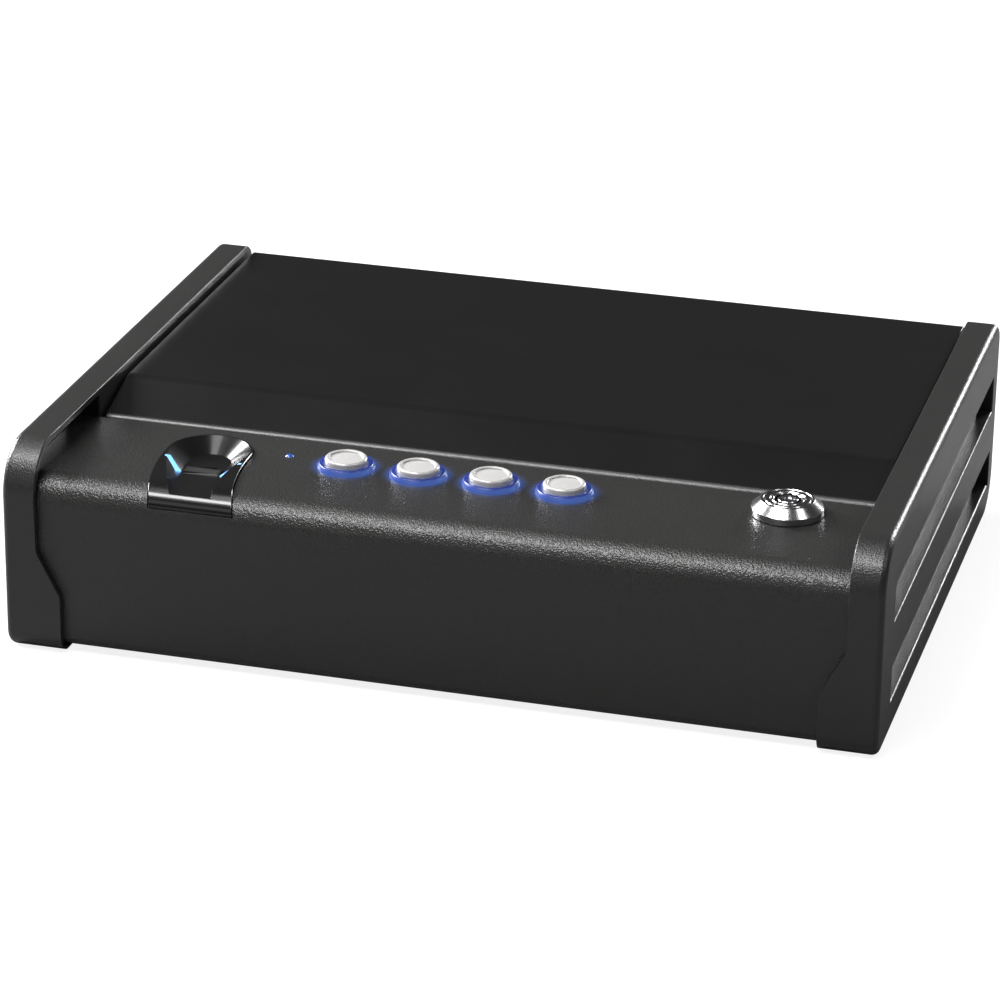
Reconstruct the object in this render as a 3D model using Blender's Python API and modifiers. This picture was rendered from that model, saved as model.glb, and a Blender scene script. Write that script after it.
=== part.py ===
"""Biometric safe: a low steel box with a lift-up lid, two moulded end caps and a control strip.

Metres, +Z up, front towards -Y, origin in the middle of the footprint on the floor.
"""
import math

import bmesh
import bpy
from mathutils import Matrix, Vector

MM = 0.001

# Whole object and the clearance between pieces that touch
WIDTH = 310 * MM
DEPTH = 235 * MM
HEIGHT = 75.3 * MM
FRONT = -DEPTH / 2
REAR = DEPTH / 2
FIT_GAP = 0.3 * MM
CUT_OVERRUN = 3 * MM
WELD = 0.001 * MM
ROUND_SIDES = 32
SMALL_SIDES = 16
FILLET_STEPS = 6

# End caps
CAP_RIM = 12.2 * MM
CAP_FRONT_TOP_RADIUS = 18 * MM
CAP_FRONT_FOOT_RADIUS = 7 * MM
CAP_REAR_TOP_RADIUS = 8 * MM
CAP_REAR_FOOT_RADIUS = 16 * MM
CAP_EDGE_ROUND = 2.6 * MM
CAP_FLANGE = 2.7 * MM
CAP_SKIN = 4.4 * MM
CAP_RIB = 2.5 * MM
CAP_POCKET_DEPTH = 5.2 * MM
CAP_POCKETS = 4
FOOT_REACH = 8.5 * MM
FOOT_STEP_LOW = 22 * MM
FOOT_STEP_HIGH = 38 * MM
SOLE = 2.0 * MM
GROOVE_DEPTH = 4.5 * MM
GROOVE_HEIGHT = 13.5 * MM
GROOVE_FRONT_INSET = 22 * MM
GROOVE_REAR_INSET = 10.5 * MM
UPPER_GROOVE_DROP = 33.5 * MM
LOWER_GROOVE_LIFT = 11.8 * MM
RECESS_SHOULDER = 1.8 * MM

# Front housing: control strip and front panel in one moulding
PANEL_SETBACK = 3.0 * MM
PANEL_FRONT = FRONT + PANEL_SETBACK
PANEL_BOTTOM = 2.3 * MM
PANEL_TOP_RADIUS = 10 * MM
PANEL_FOOT_RADIUS = 4 * MM
PANEL_RETURN = 16.5 * MM
STRIP_DROP = 10.8 * MM
STRIP_TOP = HEIGHT - STRIP_DROP
STRIP_DEPTH = 61.5 * MM
STRIP_REAR = PANEL_FRONT + STRIP_DEPTH
STRIP_LIP = 5.2 * MM
HOUSING_SKIN = 2.5 * MM
BOSS_RADIUS = 2.0 * MM

# Steel base
STEEL = 2.0 * MM
BASE_REAR_INSET = 3 * MM
BASE_REAR_FOOT_RADIUS = 10 * MM
REAR_WALL_DROP = 6.7 * MM
REAR_CUT = 8 * MM
BULKHEAD_SETBACK = 13 * MM
BULKHEAD_STEEL = 1.5 * MM
BULKHEAD_SHELF = 15 * MM
BULKHEAD_DROP = 5.5 * MM

# Lid
LID_DROP = 3.3 * MM
LID_TOP = HEIGHT - LID_DROP
LID_SIDE_GAP = 1.5 * MM
LID_REAR_INSET = 1.5 * MM
LID_REAR = REAR - LID_REAR_INSET
LID_FRONT_GAP = 0.7 * MM
LID_FRONT = STRIP_REAR + LID_FRONT_GAP
LID_SLOPE_DEPTH = 24.3 * MM
LID_CREASE = LID_FRONT + LID_SLOPE_DEPTH
LID_FRONT_STEP = 0.2 * MM
LID_FRONT_HEIGHT = STRIP_TOP + LID_FRONT_STEP
LID_LIP = 4.7 * MM
LID_FOLD = 11 * MM
LID_CREASE_RADIUS = 15 * MM
LID_FOLD_RADIUS = 2.5 * MM
SKIRT_DROP = 8 * MM
SKIRT_STEEL = 1.5 * MM
SKIRT_INSET = 0.6 * MM
SKIRT_FRONT_INSET = 4 * MM
SKIRT_REAR_INSET = 16 * MM

# Hinges
HINGE_SPACING = 180 * MM
HINGE_AXIS_INSET = 3 * MM
HINGE_AXIS_DROP = 5.6 * MM
HINGE_AXIS_Y = LID_REAR - HINGE_AXIS_INSET
HINGE_AXIS_Z = LID_TOP - HINGE_AXIS_DROP
HINGE_HALF = 22 * MM
HINGE_NOTCH_CLEARANCE = 1.5 * MM
KNUCKLE_RADIUS = 3 * MM
KNUCKLE_LENGTH = 8 * MM
LID_KNUCKLE_LENGTH = 6.6 * MM
KNUCKLE_SIDE_GAP = 0.4 * MM
LEAF_GAP_CLEARANCE = 0.8 * MM
PIN_RADIUS = 1.5 * MM
PIN_OVERHANG = 1 * MM
LEAF = 1.8 * MM
BASE_LEAF = 28.4 * MM
LID_LEAF_REACH = 27 * MM
LEAF_SHOULDER = 5 * MM
SPRING_WIRE = 1.0 * MM
SPRING_RADIUS = 2.8 * MM
SPRING_TURNS = 6.7
SPRING_LENGTH = 11 * MM
SPRING_LEG = 13 * MM
TURN_POINTS = 10

# Foam
FOAM_FLOOR = 5 * MM
FOAM_LID = 9 * MM
FOAM_SIDE_GAP = 0.6 * MM
FLOOR_FOAM_FRONT_INSET = 5 * MM
FLOOR_FOAM_REAR_INSET = 9.5 * MM
LID_FOAM_FRONT_INSET = 6 * MM
LID_FOAM_REAR_INSET = 34 * MM
LID_FOAM_SIDE_INSET = 11.3 * MM

# Latch
LATCH_TRAVEL_RADIUS = 5 * MM
BAR_SETBACK = 3 * MM
BAR_THICKNESS = 2 * MM
BAR_DROP = 4 * MM
BAR_HEIGHT = 9 * MM
BAR_LEFT = -106 * MM
BAR_PAST_LOCK = 7.9 * MM
BOLT_HEIGHT = 4 * MM
BOLT_WIDTH = 3.2 * MM
BOLT_LENGTH = 12 * MM
BOLT_ARM = 3 * MM
BOLT_LIFT = 4 * MM
BOLT_STANDOFF = 1.5 * MM
BOLT_NOSE = 0.6 * MM
STRIKER_X = 90 * MM
STRIKER_STEEL = 2 * MM
STRIKER_SETBACK = 1 * MM
STRIKER_DEPTH = 8.8 * MM
STRIKER_FRONT = STRIP_REAR + STRIKER_SETBACK
STRIKER_REAR = STRIKER_FRONT + STRIKER_DEPTH
STRIKER_EYE_MARGIN = 2 * MM
STRIKER_EYE_CLEARANCE = 0.8 * MM
STRIKER_FOOT = 9 * MM
STRIKER_FOOT_STEEL = 1.5 * MM
STRIKER_STEP = 2.1 * MM
STRIKER_SHOULDER = STRIKER_FRONT + STRIKER_STEP
SLOT_SIDE_CLEARANCE = 1.2 * MM
SLOT_END_CLEARANCE = 1.6 * MM
GUIDE_WIDTH = 10 * MM
GUIDE_WALL = 2 * MM
GUIDE_LEFT_X = -62 * MM
GUIDE_RIGHT_X = 38 * MM
TANG_RADIUS = 2.4 * MM
TANG_LENGTH = 6 * MM
COLLAR_RADIUS = 4.6 * MM
COLLAR_LENGTH = 1.6 * MM
LATCH_SPRING_RADIUS = 3.6 * MM
LATCH_SPRING_WIRE = 0.9 * MM
LATCH_SPRING_TURNS = 8
TAB_HALF = 8 * MM
TAB_STEEL = 2 * MM
TAB_GAP = 1.3 * MM
TAB_FRONT_MARGIN = 4 * MM
CAM_SLOT_CLEARANCE = 0.45 * MM
CAM_RADIUS = 7.5 * MM
CAM_PLATE = 2 * MM
CAM_PIN_RADIUS = 1.5 * MM
CAM_PIN_OVERHANG = 0.8 * MM
CAM_DROP = 4 * MM
SHAFT_RADIUS = 2 * MM

# Key lock
LOCK_INSET = 43.4 * MM
LOCK_SETBACK = 14.2 * MM
LOCK_PROUD = 5.4 * MM
LOCK_X = WIDTH / 2 - LOCK_INSET
LOCK_Y = STRIP_REAR - LOCK_SETBACK
LOCK_TOP = STRIP_TOP + LOCK_PROUD
LOCK_BEZEL_RADIUS = 12.5 * MM
LOCK_BEZEL_TOP_RADIUS = 9.5 * MM
LOCK_BEZEL_STEP = 2.5 * MM
LOCK_BARREL_RADIUS = 8 * MM
LOCK_BARREL_LENGTH = 22.6 * MM
LOCK_PLUG_RADIUS = 5.6 * MM
KEYWAY_OUTER = 4.7 * MM
KEYWAY_INNER = 3.5 * MM
KEYWAY_DEPTH = 7 * MM
KEYWAY_NOTCH = 1.4 * MM
LOCK_NUT_RADIUS = 11.0 * MM
LOCK_NUT_HEIGHT = 4 * MM

# Latch motor
MOTOR_X = 60 * MM
GEARBOX_HALF = 12 * MM
GEARBOX_REAR = 8.7 * MM
GEARBOX_FRONT = 12.8 * MM
MOTOR_CAN_RADIUS = 6 * MM
MOTOR_CAN_LENGTH = 24 * MM

# Buttons
BUTTON_FIRST_X = -44.3 * MM
BUTTON_PITCH = 26.2 * MM
BUTTON_COUNT = 4
BUTTON_SETBACK = 18.5 * MM
BUTTON_Y = STRIP_REAR - BUTTON_SETBACK
BUTTON_RADIUS = 7.5 * MM
BUTTON_PROUD = 3.7 * MM
BUTTON_DISH = 0.7 * MM
BUTTON_CROWN = 0.35 * MM
BUTTON_CROWN_RADIUS = 3.5 * MM
BUTTON_RIM_WIDTH = 1.6 * MM
BUTTON_RIM_CREST = 0.65 * MM
BUTTON_RIM_SHOULDER = 0.5 * MM
BUTTON_BASE_DROP = 2.2 * MM
BUTTON_SKIRT_RADIUS = 8.8 * MM
BUTTON_SKIRT = 1.0 * MM
BUTTON_STEM_RADIUS = 2.5 * MM
BUTTON_STEM = 0.5 * MM
RING_RADIUS = 10.2 * MM
RING_TOP_RADIUS = 9.6 * MM
RING_PROUD = 1.7 * MM
RING_FLANGE_RADIUS = 11.2 * MM
RING_FLANGE = 1.5 * MM
SWITCH_HALF = 3 * MM
SWITCH_HEIGHT = 3 * MM
SWITCH_DROP = 10.5 * MM
BOARD = 1.6 * MM
BOARD_LEFT = -76 * MM
BOARD_RIGHT = 47.5 * MM
BOARD_BEFORE = 16.5 * MM
BOARD_BEHIND = 12.5 * MM
BOSS_INSET = 3 * MM
LED_X = -66.2 * MM
LED_SETBACK = 15 * MM
LED_Y = STRIP_REAR - LED_SETBACK
LED_RADIUS = 1.5 * MM
LED_FLANGE_RADIUS = 2.4 * MM
LED_PROUD = 0.5 * MM

# Fingerprint reader
SCOOP_X = -93.7 * MM
SCOOP_SETBACK = 21.1 * MM
SCOOP_Y = STRIP_REAR - SCOOP_SETBACK
SCOOP_HALF = 15.2 * MM
SCOOP_LEAN = 6.8 * MM
SCOOP_LEAN_LENGTH = 40.4 * MM
SCOOP_PROUD = 1.1 * MM
SCOOP_TOP = STRIP_TOP + SCOOP_PROUD
SCOOP_FRONT_INSET = 0.5 * MM
SCOOP_FRONT = PANEL_FRONT + SCOOP_FRONT_INSET
SCOOP_FRONT_RADIUS = 10 * MM
SCOOP_HEIGHT = 6.9 * MM
BOWL_DEPTH = 4.6 * MM
BOWL_RADIUS = 7.6 * MM
BOWL_RIM_LAND = 0.8 * MM
MOUTH_HALF = 8.3 * MM
MOUTH_DEPTH = 2.3 * MM
MOUTH_INSET = 3.6 * MM
SENSOR_OFFSET = 8.8 * MM
SENSOR_HALF_WIDTH = 6.75 * MM
SENSOR_HALF_DEPTH = 2.7 * MM
SENSOR_PROUD = 0.3 * MM
MODULE_HALF = 13 * MM
MODULE_DROP = 15 * MM
LIGHT_LENGTH = 8.6 * MM
LIGHT_WIDTH = 2.6 * MM
LIGHT_DEPTH = 1.6 * MM
LIGHT_START_OFFSET = 4.1 * MM
LIGHT_START_ASIDE = 1.3 * MM
LIGHT_WAY_SHARES = (5.8, 5.0, 3.8)
LIGHT_NORMAL_SHARES = (1.0, 0.0, 1.2)

# Battery compartment
CELL_RADIUS = 7.25 * MM
CELL_LENGTH = 49.3 * MM
CELL_NUB_RADIUS = 2.75 * MM
CELL_NUB = 1.2 * MM
CELL_SPACING = 14.8 * MM
BATTERY_WALL = 1.6 * MM
BATTERY_BOTTOM = 9 * MM
BATTERY_END_ROOM = 1.2 * MM
DOOR_STEEL = 2 * MM
DOOR_MARGIN = 3 * MM
DOOR_BOTTOM = 11 * MM
DOOR_TOP = 44 * MM
EAR_WIDTH = 3 * MM
EAR_BORE = 1.1 * MM
EAR_REACH = 2.3 * MM

# Sizes that follow from the ones above
CAP_INNER = WIDTH / 2 - CAP_RIM
STRIP_UNDERSIDE = STRIP_TOP - HOUSING_SKIN
STRIP_LIP_BOTTOM = STRIP_TOP - STRIP_LIP
HOUSING_HALF = WIDTH / 2 - CAP_SKIN - FIT_GAP
BASE_HALF = CAP_INNER - FIT_GAP
BASE_FRONT = PANEL_FRONT + PANEL_RETURN + FIT_GAP
BASE_BOTTOM = SOLE + FIT_GAP
BASE_REAR = REAR - BASE_REAR_INSET
BASE_LEAF_BOTTOM = HINGE_AXIS_Z - BASE_LEAF
REAR_WALL_TOP = HINGE_AXIS_Z - REAR_WALL_DROP
REAR_CUT_START = BASE_REAR - REAR_CUT
UPPER_GROOVE_LIFT = HEIGHT - UPPER_GROOVE_DROP
RECESS_BOTTOM = HEIGHT - CAP_FRONT_TOP_RADIUS - RECESS_SHOULDER
FLOOR_TOP = BASE_BOTTOM + STEEL
LID_HALF = CAP_INNER - LID_SIDE_GAP
LID_LIP_BOTTOM = LID_FRONT_HEIGHT - LID_LIP
LID_FOLD_BOTTOM = LID_TOP - LID_FOLD
SKIRT_FRONT = LID_CREASE + SKIRT_FRONT_INSET
SKIRT_REAR = LID_REAR - SKIRT_REAR_INSET
LID_FOAM_HALF = LID_HALF - LID_FOAM_SIDE_INSET
LID_FOAM_FRONT = LID_CREASE + LID_FOAM_FRONT_INSET
LID_FOAM_REAR = LID_REAR - LID_FOAM_REAR_INSET
LID_SLOPE = (LID_TOP - LID_FRONT_HEIGHT) / (LID_CREASE - LID_FRONT)
LID_UNDERSIDE = LID_TOP - STEEL
BULKHEAD_REAR = STRIP_REAR + BULKHEAD_SETBACK
BULKHEAD_TOP = STRIP_TOP - BULKHEAD_DROP
FLOOR_FOAM_FRONT = BULKHEAD_REAR + FLOOR_FOAM_FRONT_INSET
FLOOR_FOAM_REAR = BASE_REAR - FLOOR_FOAM_REAR_INSET
SHELF_UNDERSIDE = BULKHEAD_TOP - BULKHEAD_STEEL
WALL_FRONT = BULKHEAD_REAR - BULKHEAD_STEEL
BAR_FRONT = STRIP_REAR - BAR_SETBACK
BAR_REAR = BAR_FRONT + BAR_THICKNESS
BAR_RIGHT = LOCK_X + BAR_PAST_LOCK
BAR_TOP = BULKHEAD_TOP - BAR_DROP
BAR_BOTTOM = BAR_TOP - BAR_HEIGHT
LOCK_BARREL_BOTTOM = LOCK_TOP - LOCK_BARREL_LENGTH
CAM_BOTTOM = LOCK_BARREL_BOTTOM - CAM_DROP
TAB_BOTTOM = CAM_BOTTOM - TAB_GAP - TAB_STEEL
CAM_PIN_BOTTOM = TAB_BOTTOM - CAM_PIN_OVERHANG
BOLT_BOTTOM = BAR_BOTTOM + BOLT_LIFT
EYE_MIDDLE_Y = (STRIKER_FRONT + STRIKER_REAR) / 2
CAM_OFFSET = LATCH_TRAVEL_RADIUS * math.sin(math.radians(45))
BATTERY_HALF = CELL_LENGTH / 2 + CELL_NUB / 2 + BATTERY_END_ROOM + BATTERY_WALL
BATTERY_REAR = WALL_FRONT - FIT_GAP
CELL_BAY = CELL_SPACING + 2 * CELL_RADIUS + 2 * FIT_GAP
BATTERY_FRONT = BATTERY_REAR - CELL_BAY - CELL_NUB - BATTERY_WALL
BATTERY_TOP = BATTERY_BOTTOM + CELL_BAY + 2 * BATTERY_WALL
DOOR_AXIS_Y = BULKHEAD_REAR + FIT_GAP + DOOR_STEEL / 2
DOOR_AXIS_Z = DOOR_BOTTOM + DOOR_STEEL / 2
BUTTON_RIM_TOP = STRIP_TOP + BUTTON_PROUD
BUTTON_BASE = STRIP_UNDERSIDE - BUTTON_BASE_DROP
RING_TOP = STRIP_TOP + RING_PROUD
SWITCH_BASE = STRIP_TOP - SWITCH_DROP
BOARD_BOTTOM = SWITCH_BASE - FIT_GAP - BOARD
BOARD_FRONT = BUTTON_Y - BOARD_BEFORE
BOARD_REAR = BUTTON_Y + BOARD_BEHIND
SCOOP_BOTTOM = SCOOP_TOP - SCOOP_HEIGHT
BOWL_FLOOR = SCOOP_TOP - BOWL_DEPTH
MOUTH_FLOOR = SCOOP_TOP - MOUTH_DEPTH
MOUTH_Y = SCOOP_FRONT + MOUTH_INSET
SENSOR_Y = SCOOP_Y - SENSOR_OFFSET
SENSOR_TOP = BOWL_FLOOR + SENSOR_PROUD
MODULE_BOTTOM = BOWL_FLOOR - MODULE_DROP
LIGHT_START_Y = SENSOR_Y - LIGHT_START_OFFSET


def clear_scene():
    """Remove every object that the file opens with."""
    for item in list(bpy.data.objects):
        bpy.data.objects.remove(item, do_unlink=True)


def make_collection(name):
    """Add a collection to the scene."""
    collection = bpy.data.collections.new(name)
    bpy.context.scene.collection.children.link(collection)
    return collection


clear_scene()
PARTS = make_collection("biometric_safe")
CUTTERS = make_collection("cutters")


def material(name, colour, roughness, metallic=0.0):
    """One Principled material with a plain colour."""
    made = bpy.data.materials.new(name)
    made.use_nodes = True
    shader = made.node_tree.nodes["Principled BSDF"]
    shader.inputs["Base Color"].default_value = (*colour, 1.0)
    shader.inputs["Roughness"].default_value = roughness
    shader.inputs["Metallic"].default_value = metallic
    return made


MATERIALS = {
    "cap_plastic": material("cap_plastic", (0.012, 0.012, 0.012), 0.42),
    "grained_plastic": material("grained_plastic", (0.016, 0.015, 0.014), 0.45),
    "lid_paint": material("lid_paint", (0.016, 0.016, 0.015), 0.38),
    "base_paint": material("base_paint", (0.02, 0.02, 0.02), 0.5),
    "foam": material("foam", (0.03, 0.03, 0.033), 0.95),
    "zinc_steel": material("zinc_steel", (0.56, 0.56, 0.55), 0.35, 1.0),
    "spring_steel": material("spring_steel", (0.42, 0.42, 0.42), 0.3, 1.0),
    "chrome": material("chrome", (0.8, 0.8, 0.8), 0.08, 1.0),
    "gloss_black": material("gloss_black", (0.01, 0.01, 0.011), 0.06),
    "sensor_metal": material("sensor_metal", (0.6, 0.58, 0.55), 0.2, 1.0),
    "blue_lens": material("blue_lens", (0.16, 0.38, 1.0), 0.3),
    "pearl_plastic": material("pearl_plastic", (0.78, 0.77, 0.75), 0.3),
    "black_plastic": material("black_plastic", (0.02, 0.02, 0.02), 0.5),
    "board_green": material("board_green", (0.02, 0.12, 0.05), 0.5),
    "cell_jacket": material("cell_jacket", (0.25, 0.18, 0.06), 0.35, 0.4),
}


def link_piece(piece, name, finish):
    """Name a finished mesh object and give it its material."""
    piece.name = name
    piece.data.name = name
    piece.data.materials.clear()
    piece.data.materials.append(MATERIALS[finish])
    return piece


def adopt(mesh, name):
    """A new object in the parts collection round a mesh in world coordinates."""
    piece = bpy.data.objects.new(name, mesh)
    PARTS.objects.link(piece)
    return piece


def mesh_from_curve(curve_object, name):
    """Turn a curve object into a welded mesh object in world coordinates."""
    PARTS.objects.link(curve_object)
    bpy.context.view_layer.update()
    evaluated = curve_object.evaluated_get(bpy.context.evaluated_depsgraph_get())
    mesh = bpy.data.meshes.new_from_object(evaluated)
    mesh.transform(curve_object.matrix_world)
    welded = bmesh.new()
    welded.from_mesh(mesh)
    bmesh.ops.remove_doubles(welded, verts=welded.verts, dist=WELD)
    bmesh.ops.dissolve_limit(
        welded, angle_limit=math.radians(0.1), verts=welded.verts, edges=welded.edges
    )
    bmesh.ops.recalc_face_normals(welded, faces=welded.faces)
    welded.to_mesh(mesh)
    welded.free()
    bpy.data.objects.remove(curve_object, do_unlink=True)
    return adopt(mesh, name)


TO_AXIS = {
    "X": Matrix(((0, 0, 1, 0), (1, 0, 0, 0), (0, 1, 0, 0), (0, 0, 0, 1))),
    "Y": Matrix(((1, 0, 0, 0), (0, 0, -1, 0), (0, 1, 0, 0), (0, 0, 0, 1))),
    "Z": Matrix.Identity(4),
}
ALONG = {"X": Vector((1, 0, 0)), "Y": Vector((0, 1, 0)), "Z": Vector((0, 0, 1))}


def prism(name, outline, axis, start, end):
    """Extrude a flat outline along one axis from start to end.

    The outline is (y, z) for axis X, (x, z) for axis Y and (x, y) for axis Z.
    """
    curve = bpy.data.curves.new(name, "CURVE")
    curve.dimensions = "2D"
    curve.fill_mode = "BOTH"
    curve.extrude = (end - start) / 2
    spline = curve.splines.new("POLY")
    spline.points.add(len(outline) - 1)
    for point, (u, v) in zip(spline.points, outline):
        point.co = (u, v, 0, 1)
    spline.use_cyclic_u = True
    item = bpy.data.objects.new(name, curve)
    item.matrix_world = Matrix.Translation(ALONG[axis] * (start + end) / 2) @ TO_AXIS[axis]
    return mesh_from_curve(item, name)


def box(name, low, high):
    """A block between two corners."""
    low = Vector(low)
    high = Vector(high)
    shape = bmesh.new()
    place = Matrix.Translation((low + high) / 2) @ Matrix.Diagonal((*(high - low), 1))
    bmesh.ops.create_cube(shape, size=1, matrix=place)
    mesh = bpy.data.meshes.new(name)
    shape.to_mesh(mesh)
    shape.free()
    return adopt(mesh, name)


def frustum(name, centre, radii, start, end, axis="Z", sides=ROUND_SIDES):
    """A cylinder or cone along an axis; centre holds the two coordinates across it."""
    shape = bmesh.new()
    bmesh.ops.create_cone(
        shape, cap_ends=True, segments=sides, radius1=radii[0], radius2=radii[1], depth=end - start
    )
    mesh = bpy.data.meshes.new(name)
    shape.to_mesh(mesh)
    shape.free()
    middle = (start + end) / 2
    turn = {
        "X": Matrix(((0, 0, 1, 0), (1, 0, 0, 0), (0, 1, 0, 0), (0, 0, 0, 1))),
        "Y": Matrix(((0, 1, 0, 0), (0, 0, 1, 0), (1, 0, 0, 0), (0, 0, 0, 1))),
        "Z": Matrix.Identity(4),
    }[axis]
    place = {
        "X": Vector((middle, centre[0], centre[1])),
        "Y": Vector((centre[0], middle, centre[1])),
        "Z": Vector((centre[0], centre[1], middle)),
    }[axis]
    mesh.transform(Matrix.Translation(place) @ turn)
    return adopt(mesh, name)


def rod(name, centre, radius, start, end, axis="Z", sides=ROUND_SIDES):
    """A cylinder along an axis."""
    return frustum(name, centre, (radius, radius), start, end, axis, sides)


def turned(name, profile, centre, sides=ROUND_SIDES):
    """Spin an outline of (radius, height) points, listed top to bottom outside, about +Z."""
    mesh = bpy.data.meshes.new(name)
    shape = bmesh.new()
    points = [shape.verts.new((radius, 0, height)) for radius, height in profile]
    for first, second in zip(points, points[1:]):
        shape.edges.new((first, second))
    if profile[0][0] > 0:
        shape.edges.new((points[-1], points[0]))
    shape.to_mesh(mesh)
    shape.free()
    piece = adopt(mesh, name)
    screw = piece.modifiers.new("Turn", "SCREW")
    screw.steps = sides
    screw.render_steps = sides
    screw.use_merge_vertices = True
    screw.merge_threshold = WELD
    piece.location = (centre[0], centre[1], 0)
    return piece


def cut(piece, cutter, operation="DIFFERENCE"):
    """Apply a Boolean with another object, which joins the cutters as a wire guide."""
    step = piece.modifiers.new(operation.title(), "BOOLEAN")
    step.operation = operation
    step.object = cutter
    step.solver = "EXACT"
    PARTS.objects.unlink(cutter)
    CUTTERS.objects.link(cutter)
    cutter.hide_render = True
    cutter.display_type = "WIRE"
    return piece


def join(piece, other):
    """Unite another object with the piece."""
    return cut(piece, other, "UNION")


def round_edges(piece, width, chosen, steps):
    """Round the edges whose two ends both satisfy a test."""
    mesh = piece.data
    weights = mesh.attributes.new("bevel_weight_edge", "FLOAT", "EDGE")
    for edge in mesh.edges:
        ends = [mesh.vertices[index].co for index in edge.vertices]
        weights.data[edge.index].value = 1.0 if all(chosen(end) for end in ends) else 0.0
    bevel = piece.modifiers.new("Round", "BEVEL")
    bevel.limit_method = "WEIGHT"
    bevel.width = width
    bevel.segments = steps
    return piece


def shade(piece, degrees=35):
    """Shade a rounded piece smooth, keeping its corners crisp."""
    piece.data.shade_smooth()
    piece.data.set_sharp_from_angle(angle=math.radians(degrees))
    return piece


def pivot(name, place, pieces):
    """Hang moving pieces from an empty on their joint's axis."""
    empty = bpy.data.objects.new(name, None)
    PARTS.objects.link(empty)
    empty.location = place
    for piece in pieces:
        piece.parent = empty
        piece.matrix_parent_inverse = Matrix.Translation(-Vector(place))
    return empty


def arc(centre, radius, start, end, steps=FILLET_STEPS):
    """Points on a circle between two angles in degrees."""
    points = []
    for index in range(steps + 1):
        angle = math.radians(start + (end - start) * index / steps)
        points.append((centre[0] + radius * math.cos(angle), centre[1] + radius * math.sin(angle)))
    return points


def rounded_path(corners, radii, closed=False):
    """Replace each corner of a path by an arc that touches both of its sides."""
    count = len(corners)
    path = []
    for index, (corner, radius) in enumerate(zip(corners, radii)):
        inside = closed or 0 < index < count - 1
        if radius <= 0 or not inside:
            path.append(tuple(corner))
            continue
        here = Vector(corner)
        before = (Vector(corners[index - 1]) - here).normalized()
        after = (Vector(corners[(index + 1) % count]) - here).normalized()
        half = before.angle(after) / 2
        middle = here + (before + after).normalized() * radius / math.sin(half)
        first = here + before * radius / math.tan(half) - middle
        last = here + after * radius / math.tan(half) - middle
        start = math.degrees(math.atan2(first.y, first.x))
        sweep = math.degrees(math.atan2(last.y, last.x)) - start
        sweep = (sweep + 180) % 360 - 180
        path.extend(arc(middle, radius, start, start + sweep))
    return path


def offset_path(path, distance):
    """Shift an open path sideways, to the left of its direction for a positive distance."""
    shifted = []
    for index, point in enumerate(path):
        here = Vector(point)
        normals = []
        if index > 0:
            step = (here - Vector(path[index - 1])).normalized()
            normals.append(Vector((-step.y, step.x)))
        if index < len(path) - 1:
            step = (Vector(path[index + 1]) - here).normalized()
            normals.append(Vector((-step.y, step.x)))
        total = sum(normals, Vector((0, 0)))
        total.normalize()
        shifted.append(tuple(here + total * distance / total.dot(normals[0])))
    return shifted


def folded_sheet(name, corners, radii, thickness, start, end):
    """A sheet bent along X: its outer path in (y, z), thickened to the left of the path."""
    outer = rounded_path(corners, radii)
    inner = offset_path(outer, thickness)
    return prism(name, outer + inner[::-1], "X", start, end)


def coil_points(radius, start, end, turns, first_angle):
    """Points of a coil along X round the origin of the (y, z) plane."""
    count = round(turns * TURN_POINTS)
    points = []
    for index in range(count + 1):
        angle = math.radians(first_angle - 360 * turns * index / count)
        along = start + (end - start) * index / count
        points.append(Vector((along, radius * math.cos(angle), radius * math.sin(angle))))
    return points


def wire(name, points, radius, finish):
    """A round wire through points."""
    curve = bpy.data.curves.new(name, "CURVE")
    curve.dimensions = "3D"
    curve.bevel_depth = radius
    curve.bevel_resolution = 2
    curve.use_fill_caps = True
    spline = curve.splines.new("POLY")
    spline.points.add(len(points) - 1)
    for point, place in zip(spline.points, points):
        point.co = (*place, 1)
    piece = mesh_from_curve(bpy.data.objects.new(name, curve), name)
    return shade(link_piece(piece, name, finish), 60)


def lid_underside_at(y):
    """Height of the lid plate's underside at a depth, on the flat or on the front slope."""
    drop = max(0.0, LID_CREASE - y) * LID_SLOPE
    return LID_TOP - drop - STEEL * math.hypot(1, LID_SLOPE)


def side_profile(margin=0.0):
    """The cap's outline seen from the side, shrunk by a margin."""
    corners = [
        (FRONT + margin, margin),
        (FRONT + margin, HEIGHT - margin),
        (REAR - margin, HEIGHT - margin),
        (REAR - margin, margin),
    ]
    radii = [
        CAP_FRONT_FOOT_RADIUS - margin,
        CAP_FRONT_TOP_RADIUS - margin,
        CAP_REAR_TOP_RADIUS - margin,
        CAP_REAR_FOOT_RADIUS - margin,
    ]
    return rounded_path(corners, radii, closed=True)


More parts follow.
